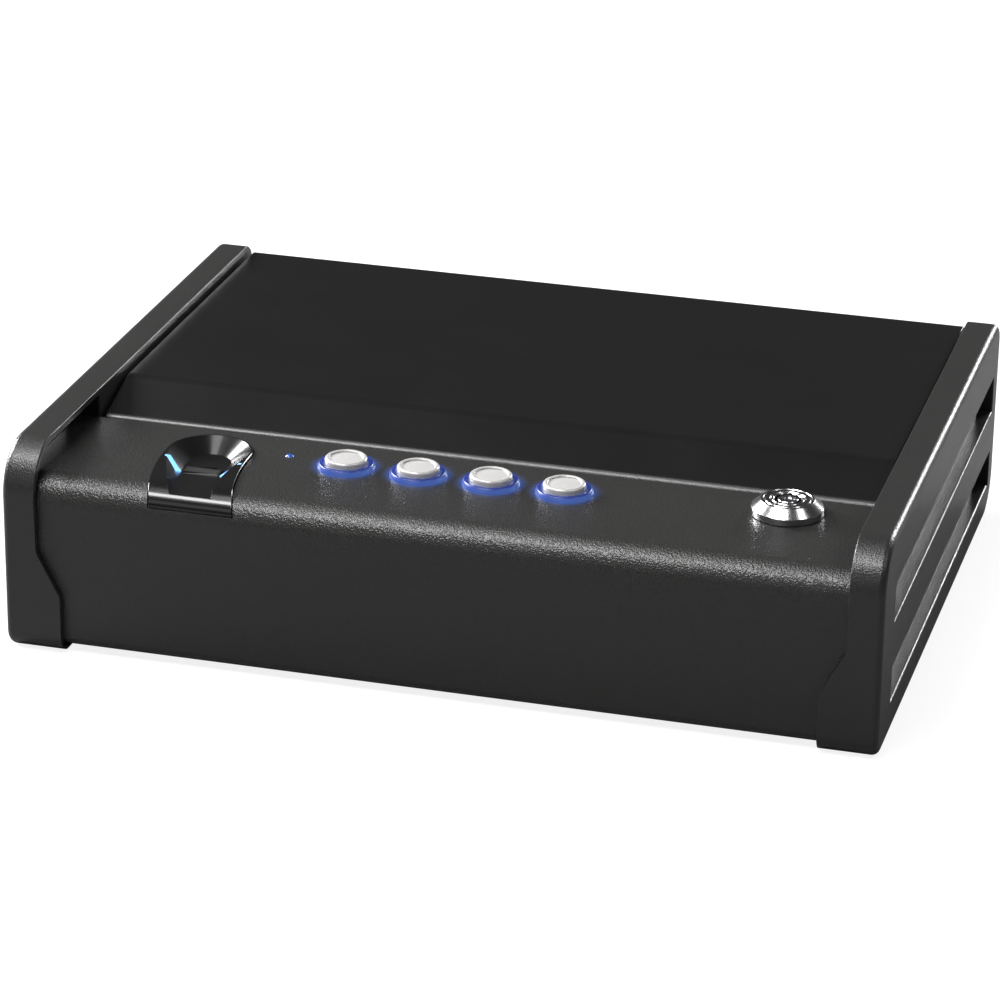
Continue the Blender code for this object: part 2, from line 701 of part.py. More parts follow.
def make_cap(name, side):
    """An end cap: a rounded side plate with two grooves, a rim, a stepped front foot and a sole."""
    outer = side * WIDTH / 2
    inner = side * CAP_INNER
    reach = side * (CAP_INNER - FOOT_REACH)
    beyond = side * (CAP_INNER - FOOT_REACH - CUT_OVERRUN)
    piece = prism(name, side_profile(), "X", min(outer, reach), max(outer, reach))
    round_edges(piece, CAP_EDGE_ROUND, lambda end: abs(end.x - outer) < FIT_GAP, 3)

    behind_flange = FRONT + CAP_FLANGE
    low = (min(inner, beyond), behind_flange, SOLE)
    high = (max(inner, beyond), REAR + CUT_OVERRUN, HEIGHT + CUT_OVERRUN)
    cut(piece, box(name + "_room_cut", low, high))
    step = [
        (inner, FOOT_STEP_HIGH),
        (reach, FOOT_STEP_LOW),
        (beyond, FOOT_STEP_LOW),
        (beyond, HEIGHT + CUT_OVERRUN),
        (inner, HEIGHT + CUT_OVERRUN),
    ]
    cut(piece, prism(name + "_step_cut", step, "Y", FRONT - CUT_OVERRUN, REAR + CUT_OVERRUN))

    recess_outer = side * (WIDTH / 2 - CAP_SKIN)
    recess_inner = side * (CAP_INNER - CUT_OVERRUN)
    across = (min(recess_outer, recess_inner), max(recess_outer, recess_inner))
    ceiling = HEIGHT - CAP_FLANGE
    strip_recess = rounded_path(
        [
            (behind_flange, RECESS_BOTTOM),
            (behind_flange, ceiling),
            (STRIP_REAR + FIT_GAP, ceiling),
            (STRIP_REAR + FIT_GAP, RECESS_BOTTOM),
        ],
        [0, CAP_FRONT_TOP_RADIUS - CAP_FLANGE, 0, 0],
        closed=True,
    )
    cut(piece, prism(name + "_strip_cut", strip_recess, "X", *across))
    panel_recess = rounded_path(
        [
            (behind_flange, SOLE),
            (behind_flange, STRIP_TOP - CAP_FRONT_TOP_RADIUS / 2),
            (BASE_FRONT, STRIP_TOP - CAP_FRONT_TOP_RADIUS / 2),
            (BASE_FRONT, SOLE),
        ],
        [CAP_FRONT_FOOT_RADIUS - CAP_FLANGE, 0, 0, 0],
        closed=True,
    )
    cut(piece, prism(name + "_panel_cut", panel_recess, "X", *across))

    groove_floor = side * (WIDTH / 2 - GROOVE_DEPTH)
    groove_mouth = side * (WIDTH / 2 + CUT_OVERRUN)
    for index, lift in enumerate((LOWER_GROOVE_LIFT, UPPER_GROOVE_LIFT)):
        low = (min(groove_floor, groove_mouth), FRONT + GROOVE_FRONT_INSET, lift)
        high = (max(groove_floor, groove_mouth), REAR - GROOVE_REAR_INSET, lift + GROOVE_HEIGHT)
        cut(piece, box(f"{name}_groove_cut_{index}", low, high))

    pocket_front = BASE_FRONT + CAP_RIB
    pocket_rear = REAR - CAP_REAR_FOOT_RADIUS
    pitch = (pocket_rear - pocket_front + CAP_RIB) / CAP_POCKETS
    pocket_inner = side * (CAP_INNER - CUT_OVERRUN)
    pocket_floor = side * (CAP_INNER + CAP_POCKET_DEPTH)
    for index in range(CAP_POCKETS):
        start = pocket_front + index * pitch
        low = (min(pocket_inner, pocket_floor), start, SOLE + 2 * CAP_RIB)
        top = RECESS_BOTTOM - CAP_RIB
        high = (max(pocket_inner, pocket_floor), start + pitch - CAP_RIB, top)
        cut(piece, box(f"{name}_pocket_cut_{index}", low, high))
    return shade(link_piece(piece, name, "cap_plastic"))


def make_base():
    """The steel tray: floor, two side walls and a rear wall, open at the front and the top."""
    name = "base_shell"
    corners = [
        (BASE_FRONT, BASE_BOTTOM),
        (BASE_FRONT, LID_TOP),
        (BASE_REAR, LID_TOP),
        (BASE_REAR, BASE_BOTTOM),
    ]
    outline = rounded_path(corners, [0, 0, 0, BASE_REAR_FOOT_RADIUS], closed=True)
    piece = prism(name, outline, "X", -BASE_HALF, BASE_HALF)
    corners = [
        (BASE_FRONT - CUT_OVERRUN, FLOOR_TOP),
        (BASE_FRONT - CUT_OVERRUN, LID_TOP + CUT_OVERRUN),
        (BASE_REAR - STEEL, LID_TOP + CUT_OVERRUN),
        (BASE_REAR - STEEL, FLOOR_TOP),
    ]
    inside = rounded_path(corners, [0, 0, 0, BASE_REAR_FOOT_RADIUS - STEEL], closed=True)
    cut(piece, prism("base_room_cut", inside, "X", STEEL - BASE_HALF, BASE_HALF - STEEL))
    clearance = 2 * FIT_GAP
    strip_step = LID_FRONT + STEEL + clearance
    trim = [
        (BASE_FRONT - CUT_OVERRUN, STRIP_LIP_BOTTOM - FIT_GAP),
        (strip_step, STRIP_LIP_BOTTOM - FIT_GAP),
        (strip_step, lid_underside_at(strip_step) - clearance),
        (LID_CREASE, LID_UNDERSIDE - clearance),
        (REAR_CUT_START, LID_UNDERSIDE - clearance),
        (REAR_CUT_START, REAR_WALL_TOP),
        (BASE_REAR + CUT_OVERRUN, REAR_WALL_TOP),
        (BASE_REAR + CUT_OVERRUN, LID_TOP + CUT_OVERRUN),
        (BASE_FRONT - CUT_OVERRUN, LID_TOP + CUT_OVERRUN),
    ]
    cut(piece, prism("base_trim_cut", trim, "X", -WIDTH / 2, WIDTH / 2))
    return link_piece(piece, name, "base_paint")


def make_bulkhead():
    """The steel wall and shelf that close the control bay, with slots for the lid's strikers."""
    half = BASE_HALF - STEEL - FIT_GAP
    bottom = FLOOR_TOP + FIT_GAP
    corners = [
        (BULKHEAD_REAR - BULKHEAD_SHELF, BULKHEAD_TOP),
        (BULKHEAD_REAR, BULKHEAD_TOP),
        (BULKHEAD_REAR, bottom),
    ]
    radii = [0, BULKHEAD_STEEL + FIT_GAP, 0]
    piece = folded_sheet("bulkhead", corners, radii, -BULKHEAD_STEEL, -half, half)
    window_half = BATTERY_HALF - BATTERY_WALL
    low = (-window_half, WALL_FRONT - CUT_OVERRUN, DOOR_AXIS_Z + EAR_REACH)
    high = (window_half, BULKHEAD_REAR + CUT_OVERRUN, BATTERY_BOTTOM + BATTERY_WALL + CELL_BAY)
    door_half = BATTERY_HALF + DOOR_MARGIN
    for side in (-1, 1):
        near = side * (door_half + FIT_GAP)
        far = side * (door_half + FIT_GAP + EAR_WIDTH)
        ear_low = (min(near, far), BULKHEAD_REAR - BULKHEAD_STEEL / 2, DOOR_AXIS_Z - EAR_REACH)
        ear_high = (max(near, far), DOOR_AXIS_Y + EAR_REACH, DOOR_AXIS_Z + EAR_REACH)
        join(piece, box("bulkhead_ear", ear_low, ear_high))
    cut(piece, box("bulkhead_window_cut", low, high))
    ear_end = door_half + FIT_GAP + EAR_WIDTH + CUT_OVERRUN
    centre = (DOOR_AXIS_Y, DOOR_AXIS_Z)
    cut(piece, rod("bulkhead_ear_cut", centre, EAR_BORE, -ear_end, ear_end, "X", SMALL_SIDES))
    for side in (-1, 1):
        middle = side * STRIKER_X
        half_slot = STRIKER_STEEL / 2 + SLOT_SIDE_CLEARANCE
        slot_low = (middle - half_slot, STRIKER_FRONT - SLOT_END_CLEARANCE, SHELF_UNDERSIDE - CUT_OVERRUN)
        slot_high = (middle + half_slot, STRIKER_REAR + SLOT_SIDE_CLEARANCE, BULKHEAD_TOP + CUT_OVERRUN)
        cut(piece, box("bulkhead_slot_cut", slot_low, slot_high))
    return link_piece(piece, "bulkhead", "base_paint")


def button_x(index):
    """Middle of a button along the strip."""
    return BUTTON_FIRST_X + index * BUTTON_PITCH


def scoop_middle(y):
    """Middle of the reader's scoop at a depth: its mouth leans towards the middle of the safe."""
    share = min(1.1, max(0.0, (SCOOP_Y - y) / SCOOP_LEAN_LENGTH))
    return SCOOP_X + SCOOP_LEAN * share * share


def scoop_outline(margin, front):
    """The reader's outline from above: a round rear end and two sides that lean at the mouth."""
    half = SCOOP_HALF + margin
    steps = 8
    right = []
    left = []
    for index in range(steps + 1):
        y = front + (SCOOP_Y - front) * index / steps
        right.append((scoop_middle(y) + half, y))
        left.append((scoop_middle(y) - half, y))
    rear = arc((SCOOP_X, SCOOP_Y), half, 0, 180, 14)[1:-1]
    return right + rear + left[::-1]


def make_housing():
    """The front moulding: strip, rounded front edge, panel and bottom return, open at both ends."""
    corners = [
        (STRIP_REAR, STRIP_LIP_BOTTOM),
        (STRIP_REAR, STRIP_TOP),
        (PANEL_FRONT, STRIP_TOP),
        (PANEL_FRONT, PANEL_BOTTOM),
        (PANEL_FRONT + PANEL_RETURN, PANEL_BOTTOM),
    ]
    radii = [0, 0, PANEL_TOP_RADIUS, PANEL_FOOT_RADIUS, 0]
    name = "front_housing"
    piece = folded_sheet(name, corners, radii, HOUSING_SKIN, -HOUSING_HALF, HOUSING_HALF)
    for x in (BOARD_LEFT + BOSS_INSET, BOARD_RIGHT - BOSS_INSET):
        for y in (BOARD_FRONT + BOSS_INSET, BOARD_REAR - BOSS_INSET):
            boss_top = STRIP_TOP - HOUSING_SKIN / 2
            low_end = SWITCH_BASE
            join(piece, rod("housing_boss", (x, y), BOSS_RADIUS, low_end, boss_top, "Z", SMALL_SIDES))
    top = STRIP_TOP + CUT_OVERRUN
    outline = scoop_outline(FIT_GAP, PANEL_FRONT - CUT_OVERRUN)
    cut(piece, prism("housing_reader_cut", outline, "Z", SCOOP_BOTTOM - FIT_GAP, top))
    for index in range(BUTTON_COUNT):
        centre = (button_x(index), BUTTON_Y)
        radius = RING_RADIUS + FIT_GAP
        cut(piece, rod("housing_button_cut", centre, radius, STRIP_UNDERSIDE - CUT_OVERRUN, top))
    low = STRIP_UNDERSIDE - CUT_OVERRUN
    cut(piece, rod("housing_lock_cut", (LOCK_X, LOCK_Y), LOCK_BARREL_RADIUS + FIT_GAP, low, top))
    cut(piece, rod("housing_led_cut", (LED_X, LED_Y), LED_RADIUS + FIT_GAP, low, top, "Z", SMALL_SIDES))
    return shade(link_piece(piece, name, "grained_plastic"))


def make_lid():
    """The steel lid: flat top, front slope and lip, rear fold with hinge notches, side skirts."""
    corners = [
        (LID_REAR, LID_FOLD_BOTTOM),
        (LID_REAR, LID_TOP),
        (LID_CREASE, LID_TOP),
        (LID_FRONT, LID_FRONT_HEIGHT),
        (LID_FRONT, LID_LIP_BOTTOM),
    ]
    radii = [0, LID_FOLD_RADIUS, LID_CREASE_RADIUS, LID_FOLD_RADIUS, 0]
    name = "lid_panel"
    piece = folded_sheet(name, corners, radii, STEEL, -LID_HALF, LID_HALF)
    skirt_outer = BASE_HALF - STEEL - SKIRT_INSET
    for side in (-1, 1):
        edges = (side * skirt_outer, side * (skirt_outer - SKIRT_STEEL))
        low = (min(edges), SKIRT_FRONT, LID_UNDERSIDE - SKIRT_DROP)
        high = (max(edges), SKIRT_REAR, LID_UNDERSIDE + STEEL / 2)
        join(piece, box("lid_skirt", low, high))
    for side in (-1, 1):
        middle = side * HINGE_SPACING / 2
        half = HINGE_HALF + HINGE_NOTCH_CLEARANCE
        low = (middle - half, HINGE_AXIS_Y, LID_FOLD_BOTTOM - CUT_OVERRUN)
        high = (middle + half, LID_REAR + CUT_OVERRUN, LID_UNDERSIDE)
        cut(piece, box("lid_notch_cut", low, high))
    return shade(link_piece(piece, name, "lid_paint"))


def make_foam():
    """Two foam pads: one on the floor and one under the lid."""
    half = BASE_HALF - STEEL - FOAM_SIDE_GAP
    bottom = FLOOR_TOP + FIT_GAP
    floor = box(
        "floor_foam", (-half, FLOOR_FOAM_FRONT, bottom), (half, FLOOR_FOAM_REAR, bottom + FOAM_FLOOR)
    )
    link_piece(floor, "floor_foam", "foam")
    top = LID_UNDERSIDE - FIT_GAP
    lid = box(
        "lid_foam",
        (-LID_FOAM_HALF, LID_FOAM_FRONT, top - FOAM_LID),
        (LID_FOAM_HALF, LID_FOAM_REAR, top),
    )
    link_piece(lid, "lid_foam", "foam")
    return floor, lid


def make_hinge(side_name, side):
    """One hinge: base leaf, lid leaf, pin and torsion spring."""
    middle = side * HINGE_SPACING / 2
    centre = (HINGE_AXIS_Y, HINGE_AXIS_Z)
    bore = PIN_RADIUS + FIT_GAP
    left = middle - HINGE_HALF
    right = middle + HINGE_HALF

    leaf_rear = BASE_REAR - STEEL - FIT_GAP
    name = "hinge_base_" + side_name
    base = box(name, (left, leaf_rear - LEAF, BASE_LEAF_BOTTOM), (right, leaf_rear, HINGE_AXIS_Z))
    gap_top = HINGE_AXIS_Z - KNUCKLE_RADIUS - LEAF_GAP_CLEARANCE
    low = (left + KNUCKLE_LENGTH, leaf_rear - LEAF - CUT_OVERRUN, gap_top)
    high = (right - KNUCKLE_LENGTH, leaf_rear + CUT_OVERRUN, HINGE_AXIS_Z + CUT_OVERRUN)
    cut(base, box(name + "_gap_cut", low, high))
    for start in (left, right - KNUCKLE_LENGTH):
        end = start + KNUCKLE_LENGTH
        join(base, rod(name + "_knuckle", centre, KNUCKLE_RADIUS, start, end, "X", SMALL_SIDES))
    overrun = (left - CUT_OVERRUN, right + CUT_OVERRUN)
    cut(base, rod(name + "_bore_cut", centre, bore, *overrun, "X", SMALL_SIDES))
    shade(link_piece(base, name, "zinc_steel"))

    name = "hinge_lid_" + side_name
    leaf_top = LID_UNDERSIDE - FIT_GAP
    knuckle_outer = HINGE_HALF - KNUCKLE_LENGTH - KNUCKLE_SIDE_GAP
    knuckle_inner = knuckle_outer - LID_KNUCKLE_LENGTH
    shoulder = HINGE_AXIS_Y - LEAF_SHOULDER
    plate_low = (middle - HINGE_HALF, HINGE_AXIS_Y - LID_LEAF_REACH, leaf_top - LEAF)
    lid = box(name, plate_low, (middle + HINGE_HALF, shoulder, leaf_top))
    for start in (middle - knuckle_outer, middle + knuckle_inner):
        end = start + LID_KNUCKLE_LENGTH
        finger_low = (start, shoulder - LEAF, leaf_top - LEAF)
        join(lid, box(name + "_finger", finger_low, (end, HINGE_AXIS_Y, leaf_top)))
        join(lid, rod(name + "_knuckle", centre, KNUCKLE_RADIUS, start, end, "X", SMALL_SIDES))
    cut(lid, rod(name + "_bore_cut", centre, bore, *overrun, "X", SMALL_SIDES))
    shade(link_piece(lid, name, "zinc_steel"))

    name = "hinge_pin_" + side_name
    pin = rod(name, centre, PIN_RADIUS, left - PIN_OVERHANG, right + PIN_OVERHANG, "X", SMALL_SIDES)
    shade(link_piece(pin, name, "zinc_steel"))

    name = "hinge_spring_" + side_name
    start = middle - SPRING_LENGTH / 2
    coil = coil_points(SPRING_RADIUS, start, start + SPRING_LENGTH, SPRING_TURNS, 180)
    axis = Vector((0, HINGE_AXIS_Y, HINGE_AXIS_Z))
    coil = [axis + point for point in coil]
    leg_y = leaf_rear - LEAF - FIT_GAP - SPRING_WIRE / 2
    base_leg = [
        Vector((coil[0].x, leg_y, gap_top - SPRING_LEG)),
        Vector((coil[0].x, leg_y, gap_top)),
    ]
    leg_z = leaf_top - LEAF - FIT_GAP - SPRING_WIRE / 2
    lid_leg = [
        Vector((coil[-1].x, shoulder + SPRING_WIRE, coil[-1].z)),
        Vector((coil[-1].x, shoulder - LEAF, leg_z)),
        Vector((coil[-1].x, shoulder - SPRING_LEG, leg_z)),
    ]
    spring = wire(name, base_leg + coil + lid_leg, SPRING_WIRE / 2, "spring_steel")
    return base, lid, pin, spring


def make_striker(side_name, side):
    """A steel tongue under the lid's front slope, with an eye for the bolt."""
    name = "striker_" + side_name
    middle = side * STRIKER_X
    bottom = BOLT_BOTTOM - STRIKER_EYE_CLEARANCE - STRIKER_EYE_MARGIN
    outline = [
        (STRIKER_FRONT, bottom),
        (STRIKER_REAR, bottom),
        (STRIKER_REAR, lid_underside_at(STRIKER_REAR) - FIT_GAP),
        (STRIKER_SHOULDER, lid_underside_at(STRIKER_SHOULDER) - FIT_GAP),
        (STRIKER_SHOULDER, BULKHEAD_TOP),
        (STRIKER_FRONT, BULKHEAD_TOP),
    ]
    half = STRIKER_STEEL / 2
    piece = prism(name, outline, "X", middle - half, middle + half)
    foot = [
        (STRIKER_REAR, lid_underside_at(STRIKER_REAR) - FIT_GAP),
        (STRIKER_SHOULDER, lid_underside_at(STRIKER_SHOULDER) - FIT_GAP),
        (STRIKER_SHOULDER, lid_underside_at(STRIKER_SHOULDER) - FIT_GAP - STRIKER_FOOT_STEEL),
        (STRIKER_REAR, lid_underside_at(STRIKER_REAR) - FIT_GAP - STRIKER_FOOT_STEEL),
    ]
    join(piece, prism(name + "_foot", foot, "X", middle - half / 2, middle + half + STRIKER_FOOT))
    low = (
        middle - half - CUT_OVERRUN,
        EYE_MIDDLE_Y - BOLT_WIDTH / 2 - STRIKER_EYE_CLEARANCE,
        BOLT_BOTTOM - STRIKER_EYE_CLEARANCE,
    )
    high = (
        middle + half + CUT_OVERRUN,
        EYE_MIDDLE_Y + BOLT_WIDTH / 2 + STRIKER_EYE_CLEARANCE,
        BOLT_BOTTOM + BOLT_HEIGHT + STRIKER_EYE_CLEARANCE,
    )
    cut(piece, box(name + "_eye_cut", low, high))
    return link_piece(piece, name, "zinc_steel")


def cam_tab_middle(axis_x):
    """Rest position of a cam's slot along the latch bar."""
    return axis_x - CAM_OFFSET


def make_bolt(side_name, side):
    """One bolt, riveted behind the arm of the latch bar, with a rounded nose."""
    name = "latch_bolt_" + side_name
    tip = bolt_tip(side)
    foot = tip - BOLT_LENGTH + BOLT_ARM + FIT_GAP
    low = (foot, EYE_MIDDLE_Y - BOLT_WIDTH / 2, BOLT_BOTTOM)
    piece = box(name, low, (tip, EYE_MIDDLE_Y + BOLT_WIDTH / 2, BOLT_BOTTOM + BOLT_HEIGHT))
    round_edges(piece, BOLT_NOSE, lambda end: end.x > tip - FIT_GAP, 2)
    return link_piece(piece, name, "zinc_steel")


def bolt_tip(side):
    """Where a bolt's nose rests, clear of its striker."""
    return side * STRIKER_X - STRIKER_STEEL / 2 - BOLT_STANDOFF


def make_latch_bar():
    """The sliding bar: an arm for each bolt, two cam tabs and a tang for its spring."""
    piece = box("latch_bar", (BAR_LEFT, BAR_FRONT, BAR_BOTTOM), (BAR_RIGHT, BAR_REAR, BAR_TOP))
    for side in (-1, 1):
        root = bolt_tip(side) - BOLT_LENGTH
        bolt_rear = EYE_MIDDLE_Y + BOLT_WIDTH / 2
        arm_low = (root, BAR_FRONT + BAR_THICKNESS / 2, BOLT_BOTTOM)
        arm_high = (root + BOLT_ARM, bolt_rear, BOLT_BOTTOM + BOLT_HEIGHT)
        join(piece, box("latch_arm", arm_low, arm_high))
    pin_reach = LATCH_TRAVEL_RADIUS * math.cos(math.radians(45))
    slot_rear = LOCK_Y + LATCH_TRAVEL_RADIUS + CAM_PIN_RADIUS + CAM_SLOT_CLEARANCE
    slot_front = LOCK_Y + pin_reach - CAM_PIN_RADIUS - CAM_SLOT_CLEARANCE
    for axis_x in (MOTOR_X, LOCK_X):
        middle = cam_tab_middle(axis_x)
        drop_low = (middle - TAB_HALF, BAR_FRONT, TAB_BOTTOM)
        drop_high = (middle + TAB_HALF, BAR_REAR, BAR_BOTTOM + TAB_STEEL)
        join(piece, box("latch_drop", drop_low, drop_high))
        tab_low = (middle - TAB_HALF, slot_front - TAB_FRONT_MARGIN, TAB_BOTTOM)
        tab_high = (middle + TAB_HALF, BAR_FRONT + BAR_THICKNESS / 2, TAB_BOTTOM + TAB_STEEL)
        join(piece, box("latch_tab", tab_low, tab_high))
        half = CAM_PIN_RADIUS + CAM_SLOT_CLEARANCE
        slot_low = (middle - half, slot_front, TAB_BOTTOM - CUT_OVERRUN)
        slot_high = (middle + half, slot_rear, TAB_BOTTOM + TAB_STEEL + CUT_OVERRUN)
        cut(piece, box("latch_slot_cut", slot_low, slot_high))
    centre = spring_line()
    collar_end = BAR_LEFT + COLLAR_LENGTH / 2
    collar_start = BAR_LEFT - COLLAR_LENGTH / 2
    join(piece, rod("latch_collar", centre, COLLAR_RADIUS, collar_start, collar_end, "X", SMALL_SIDES))
    tang_start = collar_start - TANG_LENGTH
    join(piece, rod("latch_tang", centre, TANG_RADIUS, tang_start, BAR_LEFT, "X", SMALL_SIDES))
    return link_piece(piece, "latch_bar", "zinc_steel")


def spring_line():
    """The latch spring's axis in (y, z): the middle of the bar's end."""
    return ((BAR_FRONT + BAR_REAR) / 2, (BAR_BOTTOM + BAR_TOP) / 2)


def make_latch_spring():
    """The coil between the side wall and the bar's collar."""
    start = -(BASE_HALF - STEEL) + FIT_GAP + LATCH_SPRING_WIRE / 2
    end = BAR_LEFT - COLLAR_LENGTH / 2 - FIT_GAP - LATCH_SPRING_WIRE / 2
    points = coil_points(LATCH_SPRING_RADIUS, start, end, LATCH_SPRING_TURNS, 0)
    centre = Vector((0, *spring_line()))
    points = [point + centre for point in points]
    return wire("latch_spring", points, LATCH_SPRING_WIRE / 2, "spring_steel")


def make_guide(name, middle):
    """A moulded bracket on the bulkhead that the latch bar slides through."""
    half = GUIDE_WIDTH / 2
    low = (middle - half, BAR_FRONT - FIT_GAP - GUIDE_WALL, BAR_BOTTOM - FIT_GAP - GUIDE_WALL)
    high = (middle + half, WALL_FRONT - FIT_GAP, SHELF_UNDERSIDE - FIT_GAP)
    piece = box(name, low, high)
    slot_low = (middle - half - CUT_OVERRUN, BAR_FRONT - FIT_GAP, BAR_BOTTOM - FIT_GAP)
    slot_high = (middle + half + CUT_OVERRUN, BAR_REAR + FIT_GAP, BAR_TOP + FIT_GAP)
    cut(piece, box(name + "_slot_cut", slot_low, slot_high))
    relief_low = (middle - half + GUIDE_WALL, BAR_REAR + FIT_GAP + GUIDE_WALL, low[2] - CUT_OVERRUN)
    relief_high = (middle + half - GUIDE_WALL, high[1] - GUIDE_WALL, high[2] - GUIDE_WALL)
    cut(piece, box(name + "_relief_cut", relief_low, relief_high))
    return link_piece(piece, name, "black_plastic")


def make_cam(name, axis_x):
    """A round cam plate on a shaft, with a drive pin a quarter turn from its end stop."""
    centre = (axis_x, LOCK_Y)
    top = CAM_BOTTOM + CAM_PLATE
    piece = rod(name, centre, CAM_RADIUS, CAM_BOTTOM, top)
    pin_centre = (axis_x - CAM_OFFSET, LOCK_Y + CAM_OFFSET)
    pin_top = CAM_BOTTOM + CAM_PLATE / 2
    join(piece, rod(name + "_pin", pin_centre, CAM_PIN_RADIUS, CAM_PIN_BOTTOM, pin_top, "Z", SMALL_SIDES))
    bore = SHAFT_RADIUS + FIT_GAP
    ends = (CAM_BOTTOM - CUT_OVERRUN, top + CUT_OVERRUN)
    cut(piece, rod(name + "_bore_cut", centre, bore, *ends, "Z", SMALL_SIDES))
    return shade(link_piece(piece, name, "zinc_steel"))


def make_motor():
    """The gear motor: gearbox with its output shaft down and the motor can to the front."""
    name = "latch_motor"
    top = STRIP_UNDERSIDE - FIT_GAP
    bottom = LOCK_BARREL_BOTTOM
    low = (MOTOR_X - GEARBOX_HALF, LOCK_Y - GEARBOX_FRONT, bottom)
    high = (MOTOR_X + GEARBOX_HALF, LOCK_Y + GEARBOX_REAR, top)
    piece = box(name, low, high)
    round_edges(piece, FIT_GAP * 4, lambda end: end.z > bottom + FIT_GAP, 2)
    can_start = low[1] - MOTOR_CAN_LENGTH
    can_end = low[1] + GEARBOX_REAR / 2
    can_centre = (MOTOR_X, (bottom + top) / 2)
    join(piece, rod(name + "_can", can_centre, MOTOR_CAN_RADIUS, can_start, can_end, "Y"))
    shaft = rod(
        name + "_shaft", (MOTOR_X, LOCK_Y), SHAFT_RADIUS, CAM_BOTTOM, bottom + SHAFT_RADIUS, "Z", SMALL_SIDES
    )
    join(piece, shaft)
    return shade(link_piece(piece, name, "black_plastic"))


def make_lock():
    """The tubular key lock: bezel, barrel, plug, cam and nut."""
    centre = (LOCK_X, LOCK_Y)
    seat = STRIP_TOP + FIT_GAP
    bore = LOCK_BARREL_RADIUS + FIT_GAP
    profile = [
        (LOCK_BEZEL_TOP_RADIUS, LOCK_TOP),
        (LOCK_BEZEL_RADIUS, seat + LOCK_BEZEL_STEP),
        (LOCK_BEZEL_RADIUS, seat),
        (bore, seat),
        (bore, LOCK_TOP),
    ]
    bezel = turned("lock_bezel", profile, centre)
    shade(link_piece(bezel, "lock_bezel", "chrome"))

    plug_bore = LOCK_PLUG_RADIUS + FIT_GAP
    profile = [
        (LOCK_BARREL_RADIUS, LOCK_TOP),
        (LOCK_BARREL_RADIUS, LOCK_BARREL_BOTTOM),
        (plug_bore, LOCK_BARREL_BOTTOM),
        (plug_bore, LOCK_TOP),
    ]
    barrel = turned("lock_barrel", profile, centre)
    shade(link_piece(barrel, "lock_barrel", "chrome"))

    profile = [
        (0, LOCK_TOP),
        (KEYWAY_INNER, LOCK_TOP),
        (KEYWAY_INNER, LOCK_TOP - KEYWAY_DEPTH),
        (KEYWAY_OUTER, LOCK_TOP - KEYWAY_DEPTH),
        (KEYWAY_OUTER, LOCK_TOP),
        (LOCK_PLUG_RADIUS, LOCK_TOP),
        (LOCK_PLUG_RADIUS, LOCK_BARREL_BOTTOM),
        (SHAFT_RADIUS, LOCK_BARREL_BOTTOM),
        (SHAFT_RADIUS, CAM_BOTTOM),
        (0, CAM_BOTTOM),
    ]
    plug = turned("lock_plug", profile, centre)
    notch_low = (LOCK_X - KEYWAY_NOTCH / 2, LOCK_Y + KEYWAY_INNER, LOCK_TOP - KEYWAY_DEPTH / 2)
    notch_high = (LOCK_X + KEYWAY_NOTCH / 2, LOCK_Y + LOCK_PLUG_RADIUS + CUT_OVERRUN, LOCK_TOP + CUT_OVERRUN)
    cut(plug, box("lock_notch_cut", notch_low, notch_high))
    shade(link_piece(plug, "lock_plug", "chrome"))

    nut_top = STRIP_UNDERSIDE - FIT_GAP
    nut = rod("lock_nut", centre, LOCK_NUT_RADIUS, nut_top - LOCK_NUT_HEIGHT, nut_top, "Z", 6)
    ends = (nut_top - LOCK_NUT_HEIGHT - CUT_OVERRUN, nut_top + CUT_OVERRUN)
    cut(nut, rod("lock_nut_bore_cut", centre, bore, *ends))
    link_piece(nut, "lock_nut", "zinc_steel")
    return plug


